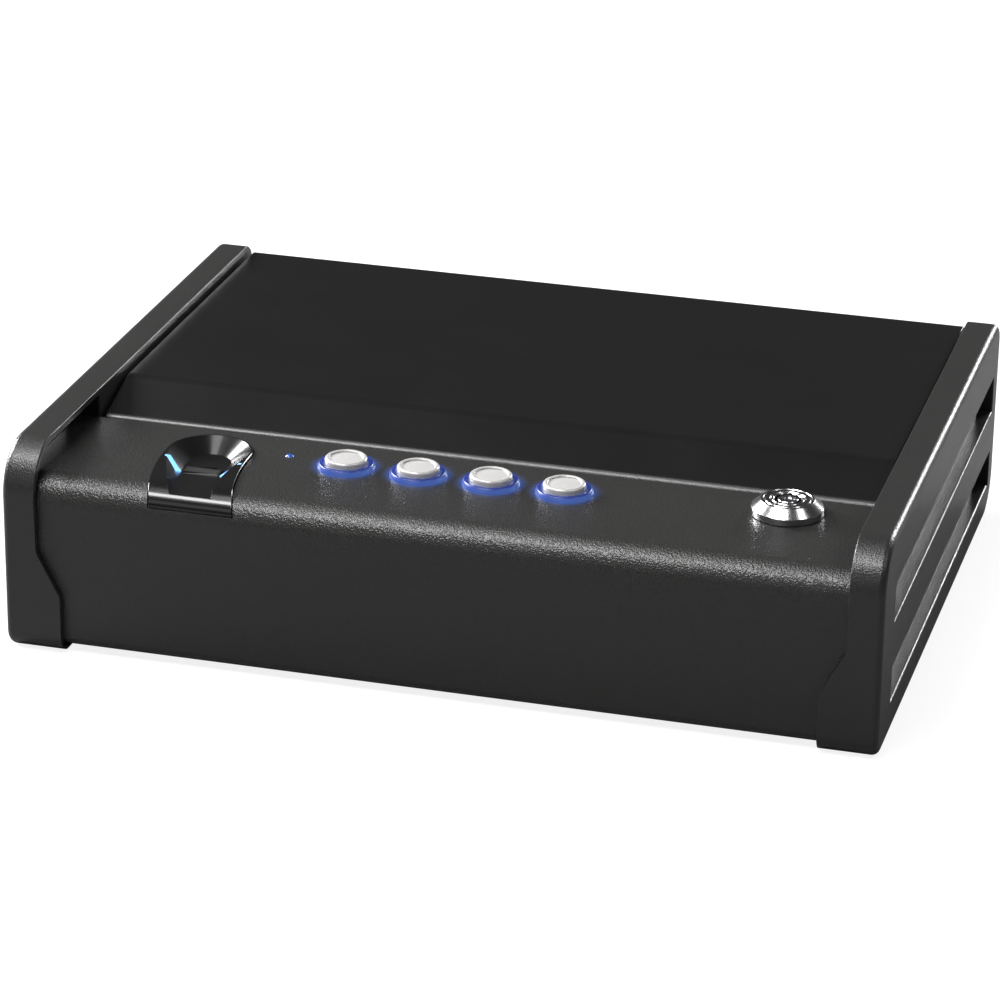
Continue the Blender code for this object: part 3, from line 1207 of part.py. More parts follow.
def make_buttons():
    """Four push buttons, each in a lit ring and over a tact switch."""
    caps = []
    ring_bottom = STRIP_UNDERSIDE - FIT_GAP - RING_FLANGE
    for index in range(BUTTON_COUNT):
        centre = (button_x(index), BUTTON_Y)
        number = str(index + 1)
        dish_edge = BUTTON_RADIUS - BUTTON_RIM_WIDTH
        face = BUTTON_RIM_TOP - BUTTON_DISH
        skirt_bottom = BUTTON_BASE - BUTTON_SKIRT
        profile = [
            (0, face + BUTTON_CROWN),
            (BUTTON_CROWN_RADIUS, face + BUTTON_CROWN * (1 - BUTTON_CROWN_RADIUS / dish_edge)),
            (dish_edge, face),
            (dish_edge + BUTTON_RIM_CREST, BUTTON_RIM_TOP),
            (BUTTON_RADIUS - BUTTON_RIM_SHOULDER, BUTTON_RIM_TOP - BUTTON_DISH / 3),
            (BUTTON_RADIUS, BUTTON_RIM_TOP - BUTTON_RIM_WIDTH),
            (BUTTON_RADIUS, BUTTON_BASE),
            (BUTTON_SKIRT_RADIUS, BUTTON_BASE),
            (BUTTON_SKIRT_RADIUS, skirt_bottom),
            (BUTTON_STEM_RADIUS, skirt_bottom),
            (BUTTON_STEM_RADIUS, skirt_bottom - BUTTON_STEM),
            (0, skirt_bottom - BUTTON_STEM),
        ]
        cap = turned("button_" + number, profile, centre, 24)
        caps.append(shade(link_piece(cap, "button_" + number, "pearl_plastic")))
        inner = BUTTON_RADIUS + FIT_GAP
        profile = [
            (RING_TOP_RADIUS, RING_TOP),
            (RING_RADIUS, STRIP_TOP + FIT_GAP),
            (RING_RADIUS, STRIP_UNDERSIDE - FIT_GAP),
            (RING_FLANGE_RADIUS, STRIP_UNDERSIDE - FIT_GAP),
            (RING_FLANGE_RADIUS, ring_bottom),
            (inner, ring_bottom),
            (inner, RING_TOP),
        ]
        ring = turned("button_ring_" + number, profile, centre, 24)
        shade(link_piece(ring, "button_ring_" + number, "blue_lens"))
        low = (centre[0] - SWITCH_HALF, BUTTON_Y - SWITCH_HALF, SWITCH_BASE)
        high = (centre[0] + SWITCH_HALF, BUTTON_Y + SWITCH_HALF, SWITCH_BASE + SWITCH_HEIGHT)
        switch = box("button_switch_" + number, low, high)
        link_piece(switch, "button_switch_" + number, "black_plastic")
    return caps


def make_board():
    """The circuit board under the strip, and the status light's lens."""
    low = (BOARD_LEFT, BOARD_FRONT, BOARD_BOTTOM)
    board = box("circuit_board", low, (BOARD_RIGHT, BOARD_REAR, BOARD_BOTTOM + BOARD))
    for x in (BOARD_LEFT + BOSS_INSET, BOARD_RIGHT - BOSS_INSET):
        for y in (BOARD_FRONT + BOSS_INSET, BOARD_REAR - BOSS_INSET):
            ends = (BOARD_BOTTOM - CUT_OVERRUN, BOARD_BOTTOM + BOARD + CUT_OVERRUN)
            cut(board, rod("board_hole_cut", (x, y), BOSS_RADIUS / 2, *ends, "Z", SMALL_SIDES))
    link_piece(board, "circuit_board", "board_green")
    flange_top = STRIP_UNDERSIDE - FIT_GAP
    profile = [
        (0, STRIP_TOP + LED_PROUD),
        (LED_RADIUS * 0.7, STRIP_TOP + LED_PROUD * 0.7),
        (LED_RADIUS, STRIP_TOP),
        (LED_RADIUS, flange_top),
        (LED_FLANGE_RADIUS, flange_top),
        (LED_FLANGE_RADIUS, flange_top - LED_RADIUS),
        (0, flange_top - LED_RADIUS),
    ]
    lens = turned("status_light", profile, (LED_X, LED_Y), SMALL_SIDES)
    shade(link_piece(lens, "status_light", "blue_lens"))


def trough_cutter():
    """The finger trough from the bowl to the mouth: sections that narrow and climb forwards."""
    shape = bmesh.new()
    sections = []
    steps = 6
    front = SCOOP_FRONT - CUT_OVERRUN
    top = SCOOP_TOP + CUT_OVERRUN
    for index in range(steps + 1):
        y = SCOOP_Y + (front - SCOOP_Y) * index / steps
        share = (SCOOP_Y - y) / (SCOOP_Y - MOUTH_Y)
        climb = max(0.0, (SENSOR_Y - SENSOR_HALF_DEPTH - y) / (SENSOR_Y - SENSOR_HALF_DEPTH - MOUTH_Y))
        floor = BOWL_FLOOR + (MOUTH_FLOOR - BOWL_FLOOR) * climb
        rim = SCOOP_HALF - BOWL_RIM_LAND
        flare = rim + (MOUTH_HALF - rim) * share
        slope = max(0.0, flare - BOWL_RADIUS) / (SCOOP_TOP - BOWL_FLOOR)
        wide = BOWL_RADIUS + slope * (top - floor)
        middle = scoop_middle(y)
        corners = [
            (middle - BOWL_RADIUS, y, floor),
            (middle + BOWL_RADIUS, y, floor),
            (middle + wide, y, top),
            (middle - wide, y, top),
        ]
        sections.append([shape.verts.new(corner) for corner in corners])
    for rear, ahead in zip(sections, sections[1:]):
        for index in range(4):
            after = (index + 1) % 4
            shape.faces.new((rear[index], rear[after], ahead[after], ahead[index]))
    shape.faces.new(sections[0])
    shape.faces.new(sections[-1][::-1])
    bmesh.ops.recalc_face_normals(shape, faces=shape.faces)
    mesh = bpy.data.meshes.new("reader_trough_cut")
    shape.to_mesh(mesh)
    shape.free()
    return adopt(mesh, "reader_trough_cut")


def light_guide(name, side, margin):
    """A bar lying on the bowl's side wall, grown by a margin on every side."""
    run, back, rise = LIGHT_WAY_SHARES
    along = Vector((side * run, back, rise)).normalized()
    inward, level, upward = LIGHT_NORMAL_SHARES
    normal = Vector((-side * inward, level, upward))
    normal = (normal - along * normal.dot(along)).normalized()
    across = normal.cross(along)
    aside = side * (SENSOR_HALF_WIDTH + LIGHT_START_ASIDE)
    start = Vector((scoop_middle(LIGHT_START_Y) + aside, LIGHT_START_Y, BOWL_FLOOR))
    middle = start + along * LIGHT_LENGTH / 2 - normal * LIGHT_DEPTH / 4
    size = (LIGHT_LENGTH + 2 * margin, LIGHT_WIDTH + 2 * margin, LIGHT_DEPTH + 2 * margin)
    basis = Matrix((along, across, normal)).transposed().to_4x4()
    piece = box(name, [-length / 2 for length in size], [length / 2 for length in size])
    piece.data.transform(Matrix.Translation(middle) @ basis)
    return piece


def make_reader():
    """The fingerprint reader: glossy scoop, sensor module and two light guides."""
    under_round = SCOOP_BOTTOM - SCOOP_TOP + SCOOP_FRONT_RADIUS
    front_angle = math.degrees(math.asin(under_round / SCOOP_FRONT_RADIUS))
    centre = (SCOOP_FRONT + SCOOP_FRONT_RADIUS, SCOOP_TOP - SCOOP_FRONT_RADIUS)
    rear = SCOOP_Y + SCOOP_HALF + CUT_OVERRUN
    profile = [(rear, SCOOP_BOTTOM), (rear, SCOOP_TOP)]
    profile += arc(centre, SCOOP_FRONT_RADIUS, 90, 180 - front_angle)
    name = "reader_bezel"
    outline = scoop_outline(0, SCOOP_FRONT - CUT_OVERRUN)
    piece = prism(name, outline, "Z", SCOOP_BOTTOM - CUT_OVERRUN, SCOOP_TOP + CUT_OVERRUN)
    half = SCOOP_HALF + SCOOP_LEAN + CUT_OVERRUN
    block = prism(name + "_block", profile, "X", SCOOP_X - half, SCOOP_X + half)
    cut(piece, block, "INTERSECT")
    rim = SCOOP_HALF - BOWL_RIM_LAND
    slope = (rim - BOWL_RADIUS) / (SCOOP_TOP - BOWL_FLOOR)
    top = SCOOP_TOP + CUT_OVERRUN
    radii = (BOWL_RADIUS, BOWL_RADIUS + slope * (top - BOWL_FLOOR))
    cut(piece, frustum("reader_bowl_cut", (SCOOP_X, SCOOP_Y), radii, BOWL_FLOOR, top))
    cut(piece, trough_cutter())
    sensor_x = scoop_middle(SENSOR_Y)
    low = (
        sensor_x - SENSOR_HALF_WIDTH - FIT_GAP,
        SENSOR_Y - SENSOR_HALF_DEPTH - FIT_GAP,
        SCOOP_BOTTOM - CUT_OVERRUN,
    )
    high = (sensor_x + SENSOR_HALF_WIDTH + FIT_GAP, SENSOR_Y + SENSOR_HALF_DEPTH + FIT_GAP, top)
    cut(piece, box("reader_window_cut", low, high))
    for side_name, side in (("left", -1), ("right", 1)):
        cut(piece, light_guide("reader_slot_cut_" + side_name, side, FIT_GAP))
        guide = light_guide("reader_light_" + side_name, side, 0)
        link_piece(guide, "reader_light_" + side_name, "blue_lens")
    shade(link_piece(piece, name, "gloss_black"))

    module_top = SCOOP_BOTTOM - FIT_GAP
    module = box(
        "reader_sensor",
        (sensor_x - MODULE_HALF, SENSOR_Y - MODULE_HALF, MODULE_BOTTOM),
        (sensor_x + MODULE_HALF, SENSOR_Y + MODULE_HALF, module_top),
    )
    face_low = (sensor_x - SENSOR_HALF_WIDTH, SENSOR_Y - SENSOR_HALF_DEPTH, module_top - BOARD)
    face_high = (sensor_x + SENSOR_HALF_WIDTH, SENSOR_Y + SENSOR_HALF_DEPTH, SENSOR_TOP)
    join(module, box("reader_face", face_low, face_high))
    link_piece(module, "reader_sensor", "sensor_metal")


def make_batteries():
    """The battery box, four cells and the door that opens into the safe."""
    low = (-BATTERY_HALF, BATTERY_FRONT, BATTERY_BOTTOM)
    high = (BATTERY_HALF, BATTERY_REAR, BATTERY_TOP)
    holder = box("battery_box", low, high)
    inner_low = [edge + BATTERY_WALL for edge in low]
    inner_high = (BATTERY_HALF - BATTERY_WALL, BATTERY_REAR + CUT_OVERRUN, BATTERY_TOP - BATTERY_WALL)
    cut(holder, box("battery_room_cut", inner_low, inner_high))
    link_piece(holder, "battery_box", "black_plastic")

    number = 0
    for row in range(2):
        for column in range(2):
            number += 1
            y = inner_low[1] + FIT_GAP + CELL_RADIUS + column * CELL_SPACING
            z = inner_low[2] + FIT_GAP + CELL_RADIUS + row * CELL_SPACING
            facing = 1 if (row + column) % 2 == 0 else -1
            name = "battery_cell_" + str(number)
            half = CELL_LENGTH / 2
            shift = -facing * CELL_NUB / 2
            cell = rod(name, (y, z), CELL_RADIUS, shift - half, shift + half, "X", 24)
            tip = shift + facing * (half + CELL_NUB)
            root = shift + facing * (half - CELL_NUB)
            nub_ends = sorted((tip, root))
            nub = rod(name + "_nub", (y, z), CELL_NUB_RADIUS, *nub_ends, "X", SMALL_SIDES)
            join(cell, nub)
            shade(link_piece(cell, name, "cell_jacket"))

    half = BATTERY_HALF + DOOR_MARGIN
    rear = DOOR_AXIS_Y + DOOR_STEEL / 2
    front = DOOR_AXIS_Y - DOOR_STEEL / 2
    outline = [(front, DOOR_AXIS_Z), (front, DOOR_TOP), (rear, DOOR_TOP), (rear, DOOR_AXIS_Z)]
    outline += arc((DOOR_AXIS_Y, DOOR_AXIS_Z), DOOR_STEEL / 2, 0, -180)[1:-1]
    door = prism("battery_door", outline, "X", -half, half)
    centre = (DOOR_AXIS_Y, DOOR_AXIS_Z)
    stub = half + FIT_GAP + EAR_WIDTH
    join(door, rod("battery_door_pin", centre, EAR_BORE - FIT_GAP, -stub, stub, "X", SMALL_SIDES))
    link_piece(door, "battery_door", "black_plastic")
    return door


def build():
    """Make every piece and hang the moving ones on their axes."""
    make_cap("cap_left", -1)
    make_cap("cap_right", 1)
    make_base()
    make_bulkhead()
    make_housing()
    lid_pieces = [make_lid()]
    lid_pieces.append(make_foam()[1])
    for side_name, side in (("left", -1), ("right", 1)):
        lid_pieces.append(make_hinge(side_name, side)[1])
        lid_pieces.append(make_striker(side_name, side))
    pivot("lid_axis", (0, HINGE_AXIS_Y, HINGE_AXIS_Z), lid_pieces)
    latch = [make_latch_bar()]
    for side_name, side in (("left", -1), ("right", 1)):
        latch.append(make_bolt(side_name, side))
    pivot("latch_axis", (0, *spring_line()), latch)
    make_latch_spring()
    make_guide("latch_guide_left", GUIDE_LEFT_X)
    make_guide("latch_guide_right", GUIDE_RIGHT_X)
    make_motor()
    pivot("motor_axis", (MOTOR_X, LOCK_Y, CAM_BOTTOM), [make_cam("motor_cam", MOTOR_X)])
    plug = make_lock()
    pivot("key_axis", (LOCK_X, LOCK_Y, LOCK_TOP), [plug, make_cam("lock_cam", LOCK_X)])
    make_buttons()
    make_board()
    make_reader()
    door = make_batteries()
    pivot("battery_door_axis", (0, DOOR_AXIS_Y, DOOR_AXIS_Z), [door])


build()
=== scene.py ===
"""The looks of a biometric safe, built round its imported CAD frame.

Every length is in metres, +Z is up and the front of the safe faces -Y.
"""
import logging
import math
from contextlib import contextmanager
from dataclasses import dataclass, field
from enum import Enum
from typing import Callable, Iterator, Optional, Sequence

import bmesh
import bpy
from mathutils import Matrix, Vector


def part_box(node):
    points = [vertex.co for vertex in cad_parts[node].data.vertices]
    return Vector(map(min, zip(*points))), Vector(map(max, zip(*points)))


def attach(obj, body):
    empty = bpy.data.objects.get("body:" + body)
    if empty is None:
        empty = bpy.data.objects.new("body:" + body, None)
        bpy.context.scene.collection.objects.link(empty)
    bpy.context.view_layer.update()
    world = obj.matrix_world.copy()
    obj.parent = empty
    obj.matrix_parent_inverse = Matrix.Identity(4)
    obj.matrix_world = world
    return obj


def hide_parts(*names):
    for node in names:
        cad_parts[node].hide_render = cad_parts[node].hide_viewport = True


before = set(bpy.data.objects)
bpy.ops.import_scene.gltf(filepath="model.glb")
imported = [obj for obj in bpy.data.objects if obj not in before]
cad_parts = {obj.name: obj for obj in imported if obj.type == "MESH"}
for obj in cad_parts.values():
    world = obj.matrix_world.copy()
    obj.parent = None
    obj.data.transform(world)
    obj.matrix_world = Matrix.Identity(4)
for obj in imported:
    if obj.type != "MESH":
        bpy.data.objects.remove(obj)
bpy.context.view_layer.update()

MM = 0.001
LOG = logging.getLogger("safe")

Colour = tuple[float, float, float]
Point = tuple[float, float, float]
Piece = bpy.types.Object


class Axis(Enum):
    """The three directions of the safe."""

    X = 0
    Y = 1
    Z = 2


class Side(Enum):
    """The left or right end, as a sign along X."""

    LEFT = -1
    RIGHT = 1

    @property
    def word(self) -> str:
        """The side's name in lower case."""
        return self.name.lower()


# ---------------------------------------------------------------- modelling by hand


def start_fresh() -> None:
    """Leave edit mode's leftovers and clear the selection."""
    if bpy.context.object is not None and bpy.context.object.mode != "OBJECT":
        bpy.ops.object.mode_set(mode="OBJECT")
    bpy.ops.object.select_all(action="DESELECT")


def pick(piece: Piece) -> None:
    """Make a piece the only selected one and the active one."""
    start_fresh()
    piece.select_set(True)
    bpy.context.view_layer.objects.active = piece


@contextmanager
def editing(piece: Piece) -> Iterator[bmesh.types.BMesh]:
    """Open a piece in edit mode with nothing selected.

    Args:
        piece: The mesh object to edit.

    Returns:
        An iterator that gives the edit mesh once.
    """
    pick(piece)
    bpy.ops.object.mode_set(mode="EDIT")
    bpy.ops.mesh.select_mode(type="VERT")
    bpy.ops.mesh.select_all(action="DESELECT")
    yield bmesh.from_edit_mesh(piece.data)
    bpy.ops.object.mode_set(mode="OBJECT")


def choose_edges(mesh: bmesh.types.BMesh, test: Callable[[Vector, Vector], bool]) -> int:
    """Select the edges whose two ends pass a test.

    Args:
        mesh: The edit mesh.
        test: Says whether an edge between two points is wanted.

    Returns:
        How many edges were selected.
    """
    bpy.ops.mesh.select_mode(type="EDGE")
    count = 0
    for edge in mesh.edges:
        wanted = test(edge.verts[0].co, edge.verts[1].co)
        edge.select_set(wanted)
        count += wanted
    return count


def choose_faces(mesh: bmesh.types.BMesh, test: Callable[[Vector, Vector], bool]) -> None:
    """Select the faces whose middle and normal pass a test."""
    bpy.ops.mesh.select_mode(type="FACE")
    mesh.normal_update()
    for face in mesh.faces:
        face.select_set(test(face.calc_center_median(), face.normal))


def add_block(name: str, low: Point, high: Point) -> Piece:
    """Add a cube primitive stretched between two corners.

    Args:
        name: The piece's name.
        low: The lowest corner.
        high: The highest corner.

    Returns:
        The new piece, with its place in its mesh.
    """
    start_fresh()
    middle = [(a + b) / 2 for a, b in zip(low, high)]
    bpy.ops.mesh.primitive_cube_add(size=1, location=middle)
    piece = bpy.context.object
    piece.scale = [b - a for a, b in zip(low, high)]
    return settle(piece, name)


def settle(piece: Piece, name: str) -> Piece:
    """Name a piece and move its place, turn and size into its mesh."""
    pick(piece)
    bpy.ops.object.transform_apply(location=True, rotation=True, scale=True)
    piece.name = name
    piece.data.name = name
    return piece


TURNS = {
    Axis.X: (0, math.radians(90), 0),
    Axis.Y: (math.radians(-90), 0, 0),
    Axis.Z: (0, 0, 0),
}


def add_round(
    name: str,
    centre: Point,
    radii: tuple[float, float],
    length: float,
    axis: Axis = Axis.Z,
    sides: int = 96,
) -> Piece:
    """Add a cone or cylinder primitive that starts at a point and runs along an axis.

    Args:
        name: The piece's name.
        centre: The middle of its first end.
        radii: The radius at its first and last end.
        length: How far it runs along the axis.
        axis: The direction it runs in.
        sides: How many sides approximate the circle.

    Returns:
        The new piece, with its place in its mesh.
    """
    start_fresh()
    place = list(centre)
    place[axis.value] += length / 2
    bpy.ops.mesh.primitive_cone_add(
        vertices=sides,
        radius1=radii[0],
        radius2=radii[1],
        depth=length,
        location=place,
        rotation=TURNS[axis],
    )
    return settle(bpy.context.object, name)


def turn_profile(name: str, centre: Point, profile: Sequence[tuple[float, float]], sides: int = 96) -> Piece:
    """Raise a circle primitive ring by ring into a turned shape about Z.

    Args:
        name: The piece's name.
        centre: Its axis in X and Y; the third number is added to each height.
        profile: Pairs of radius and height, each pair one ring; a radius of 0 closes the shape.
        sides: How many sides approximate the circle.

    Returns:
        The turned piece.
    """
    start_fresh()
    first = profile[0] if profile[0][0] > 0 else (profile[1][0] * 0.02, profile[0][1])
    x, y, lift = centre
    bpy.ops.mesh.primitive_circle_add(vertices=sides, radius=first[0], location=(x, y, lift + first[1]))
    piece = settle(bpy.context.object, name)
    with editing(piece):
        bpy.ops.mesh.select_all(action="SELECT")
        if profile[0][0] <= 0:
            bpy.ops.mesh.edge_face_add()
        radius, height = first
        for wide, high in profile[1:]:
            bpy.ops.mesh.extrude_edges_move(
                TRANSFORM_OT_translate={"value": (0, 0, high - height)}
            )
            share = max(wide, 0.000001) / radius
            bpy.ops.transform.resize(value=(share, share, 1), center_override=(x, y, lift + high))
            radius, height = max(wide, 0.000001), high
        if profile[-1][0] <= 0:
            bpy.ops.mesh.merge(type="CENTER")
        bpy.ops.mesh.select_all(action="SELECT")
        bpy.ops.mesh.remove_doubles(threshold=0.000002)
        bpy.ops.mesh.normals_make_consistent(inside=False)
    return piece


def round_edges(
    piece: Piece, width: float, segments: int, test: Callable[[Vector, Vector], bool]
) -> Piece:
    """Round chosen edges of a piece in edit mode.

    Args:
        piece: The piece to round.
        width: The radius at a square corner.
        segments: How many faces make the round.
        test: Says whether the edge between two points is rounded.

    Returns:
        The same piece.
    """
    with editing(piece) as mesh:
        if choose_edges(mesh, test):
            bpy.ops.mesh.bevel(offset=width, segments=segments, affect="EDGES", clamp_overlap=False)
    return piece


def near(value: float, goal: float) -> bool:
    """Whether two lengths are the same to a hundredth of a millimetre."""
    return abs(value - goal) < 0.01 * MM


def along_x(y: float, z: float) -> Callable[[Vector, Vector], bool]:
    """A test for the edge that runs along X at a depth and a height."""
    return lambda a, b: near(a.y, y) and near(b.y, y) and near(a.z, z) and near(b.z, z)


def on_plane(axis: Axis, value: float) -> Callable[[Vector, Vector], bool]:
    """A test for edges that lie in a plane across an axis."""
    index = axis.value
    return lambda a, b: near(a[index], value) and near(b[index], value)


def apply_step(piece: Piece, step: bpy.types.Modifier) -> None:
    """Apply one modifier of a piece."""
    pick(piece)
    bpy.ops.object.modifier_apply(modifier=step.name)


def carve(piece: Piece, cutter: Piece, operation: str = "DIFFERENCE", solver: str = "EXACT") -> Piece:
    """Cut, join or keep the overlap of a piece with a cutter, which is used up.

    Args:
        piece: The piece to change.
        cutter: The other piece.
        operation: DIFFERENCE, UNION or INTERSECT.
        solver: EXACT keeps the faces whole; MANIFOLD is safer on slanted cuts.

    Returns:
        The changed piece.
    """
    step = piece.modifiers.new("Carve", "BOOLEAN")
    step.operation = operation
    step.object = cutter
    step.solver = solver
    faces = len(piece.data.polygons)
    apply_step(piece, step)
    if len(piece.data.polygons) < faces / 2:
        raise RuntimeError(f"{cutter.name} emptied {piece.name}")
    bpy.data.objects.remove(cutter, do_unlink=True)
    return piece


def soften(piece: Piece, width: float, segments: int = 2, angle: float = 35) -> Piece:
    """Round every sharp edge of a piece a little.

    Args:
        piece: The piece to soften.
        width: The width of the round.
        segments: How many faces make it.
        angle: Only edges sharper than this many degrees are rounded.

    Returns:
        The same piece.
    """
    with editing(piece):
        bpy.ops.mesh.select_all(action="SELECT")
        bpy.ops.mesh.remove_doubles(threshold=0.000004)
        bpy.ops.mesh.dissolve_limited(angle_limit=math.radians(0.2))
    step = piece.modifiers.new("Soften", "BEVEL")
    step.limit_method = "ANGLE"
    step.angle_limit = math.radians(angle)
    step.width = width
    step.segments = segments
    step.use_clamp_overlap = False
    apply_step(piece, step)
    return piece


def shade(piece: Piece, angle: float = 32, even: bool = True) -> Piece:
    """Shade a piece smooth over its rounds and flat over its flats.

    Args:
        piece: The piece to shade.
        angle: Edges sharper than this many degrees stay crisp.
        even: Whether large faces pull the normals flat.

    Returns:
        The same piece.
    """
    pick(piece)
    bpy.ops.object.shade_smooth_by_angle(angle=math.radians(angle))
    if even:
        step = piece.modifiers.new("Even", "WEIGHTED_NORMAL")
        step.keep_sharp = True
        step.weight = 80
        apply_step(piece, step)
    return piece


def mirrored(piece: Piece, name: str) -> Piece:
    """A copy of a piece mirrored across the middle plane, with its own mesh."""
    twin = piece.copy()
    twin.data = piece.data.copy()
    bpy.context.scene.collection.objects.link(twin)
    twin.scale = (-1, 1, 1)
    settle(twin, name)
    with editing(twin):
        bpy.ops.mesh.select_all(action="SELECT")
        bpy.ops.mesh.normals_make_consistent(inside=False)
    return twin


def heading(vert: bmesh.types.BMVert) -> float:
    """The direction of a point from the Z axis, from 0 to a full turn."""
    return math.atan2(vert.co.y, vert.co.x) % math.tau


def arc(centre: tuple[float, float], radius: float, start: float, end: float, steps: int) -> list[tuple[float, float]]:
    """Points on a circle between two angles in degrees."""
    angles = [math.radians(start + (end - start) * i / steps) for i in range(steps + 1)]
    return [(centre[0] + radius * math.cos(a), centre[1] + radius * math.sin(a)) for a in angles]


# ---------------------------------------------------------------- finishes

Sockets = dict[str, object]


@dataclass
class Effect:
    """A node group under construction, with named inputs and outputs."""

    name: str
    tree: Optional[bpy.types.NodeTree] = None

    def __post_init__(self) -> None:
        """Make the empty group with its two end nodes."""
        self.tree = bpy.data.node_groups.new(self.name, "ShaderNodeTree")
        self.inside = self.tree.nodes.new("NodeGroupInput")
        self.outside = self.tree.nodes.new("NodeGroupOutput")

    def take(self, name: str, kind: str, value: object = None) -> None:
        """Add an input socket with a default."""
        socket = self.tree.interface.new_socket(name, in_out="INPUT", socket_type=kind)
        if value is not None:
            socket.default_value = value

    def give(self, name: str, kind: str, source: bpy.types.NodeSocket) -> None:
        """Add an output socket and feed it."""
        self.tree.interface.new_socket(name, in_out="OUTPUT", socket_type=kind)
        self.tree.links.new(source, self.outside.inputs[name])

    def use(self, name: str) -> bpy.types.NodeSocket:
        """The inside end of an input."""
        return self.inside.outputs[name]

    def add(self, kind: str, settings: Optional[Sockets] = None, **inputs: object) -> bpy.types.Node:
        """Add a node, set its options and connect or set its inputs."""
        return add_node(self.tree, kind, settings, **inputs)


def add_node(
    tree: bpy.types.NodeTree, kind: str, settings: Optional[Sockets] = None, **inputs: object
) -> bpy.types.Node:
    """Add a shader node to a tree.

    Args:
        tree: The node tree.
        kind: The node's type, without its ShaderNode prefix.
        settings: Properties of the node.
        inputs: Sockets by name, with _ for a space, or in_0, in_1 by number; a value or a link.

    Returns:
        The new node.
    """
    node = tree.nodes.new("ShaderNode" + kind)
    for key, value in (settings or {}).items():
        setattr(node, key, value)
    for key, value in inputs.items():
        number = key.removeprefix("in_")
        socket = node.inputs[int(number)] if number.isdigit() else node.inputs[key.replace("_", " ")]
        if isinstance(value, bpy.types.NodeSocket):
            tree.links.new(value, socket)
        else:
            socket.default_value = value
    return node


def ramp(
    tree: bpy.types.NodeTree,
    source: bpy.types.NodeSocket,
    low: float,
    high: float,
    start: float = 0.0,
    end: float = 1.0,
) -> bpy.types.NodeSocket:
    """Map a value's range smoothly onto another and return the result."""
    node = add_node(
        tree,
        "MapRange",
        {"interpolation_type": "SMOOTHSTEP"},
        in_0=source,
        in_1=low,
        in_2=high,
        in_3=start,
        in_4=end,
    )
    return node.outputs[0]


def build_grain() -> Effect:
    """Moulded grain: rounded pebbles with fine tooth, as a height and a painted shade that darkens the hollows between
    the pebbles.
    """
    made = Effect("moulded_grain")
    made.take("Vector", "NodeSocketVector")
    made.take("Size", "NodeSocketFloat", 900.0)
    made.take("Tooth", "NodeSocketFloat", 0.35)
    made.take("Shade", "NodeSocketFloat", 0.15)
    warp = made.add("TexNoise", Vector=made.use("Vector"), Scale=420.0, Detail=2.0)
    shift = made.add("VectorMath", {"operation": "SCALE"}, in_0=warp.outputs["Color"], Scale=0.0016)
    place = made.add("VectorMath", {"operation": "ADD"}, in_0=made.use("Vector"), in_1=shift.outputs[0])
    cells = made.add(
        "TexVoronoi", {"feature": "SMOOTH_F1"}, Vector=place.outputs[0], Scale=made.use("Size"), Smoothness=0.6
    )
    fine = made.add("TexNoise", Vector=made.use("Vector"), Scale=3600.0, Detail=3.0, Roughness=0.6)
    pebble = ramp(made.tree, cells.outputs["Distance"], 0.1, 0.75, 1.0, 0.0)
    tooth = made.add("Math", {"operation": "MULTIPLY"}, in_0=fine.outputs[0], in_1=made.use("Tooth"))
    height = made.add("Math", {"operation": "ADD"}, in_0=pebble, in_1=tooth.outputs[0])
    made.give("Height", "NodeSocketFloat", height.outputs[0])
    # Painted shade: the colour falls to 1 - Shade in the hollows between the pebbles.
    dark = made.add("Math", {"operation": "MULTIPLY"}, in_0=pebble, in_1=made.use("Shade"))
    base = made.add("Math", {"operation": "SUBTRACT"}, in_0=1.0, in_1=made.use("Shade"))
    shade_value = made.add("Math", {"operation": "ADD"}, in_0=base.outputs[0], in_1=dark.outputs[0])
    made.give("Shade", "NodeSocketFloat", shade_value.outputs[0])
    return made


def build_wear() -> Effect:
    """Handling marks: soft blotches and faint hair scratches that change the roughness."""
    made = Effect("handling_marks")
    made.take("Vector", "NodeSocketVector")
    made.take("Roughness", "NodeSocketFloat", 0.4)
    made.take("Amount", "NodeSocketFloat", 0.06)
    blotch = made.add("TexNoise", Vector=made.use("Vector"), Scale=26.0, Detail=4.0, Roughness=0.55)
    streak = made.add("Mapping", Vector=made.use("Vector"), Rotation=(0.0, 0.0, 0.5), Scale=(60.0, 1400.0, 500.0))
    hair = made.add("TexNoise", Vector=streak.outputs[0], Scale=1.0, Detail=2.0)
    lines = ramp(made.tree, hair.outputs[0], 0.62, 0.72)
    both = made.add("Math", {"operation": "MULTIPLY_ADD"}, in_0=lines, in_1=0.35, in_2=blotch.outputs[0])
    centred = made.add("Math", {"operation": "SUBTRACT"}, in_0=both.outputs[0], in_1=0.55)
    spread = made.add(
        "Math",
        {"operation": "MULTIPLY_ADD"},
        in_0=centred.outputs[0],
        in_1=made.use("Amount"),
        in_2=made.use("Roughness"),
    )
    made.give("Roughness", "NodeSocketFloat", spread.outputs[0])
    return made


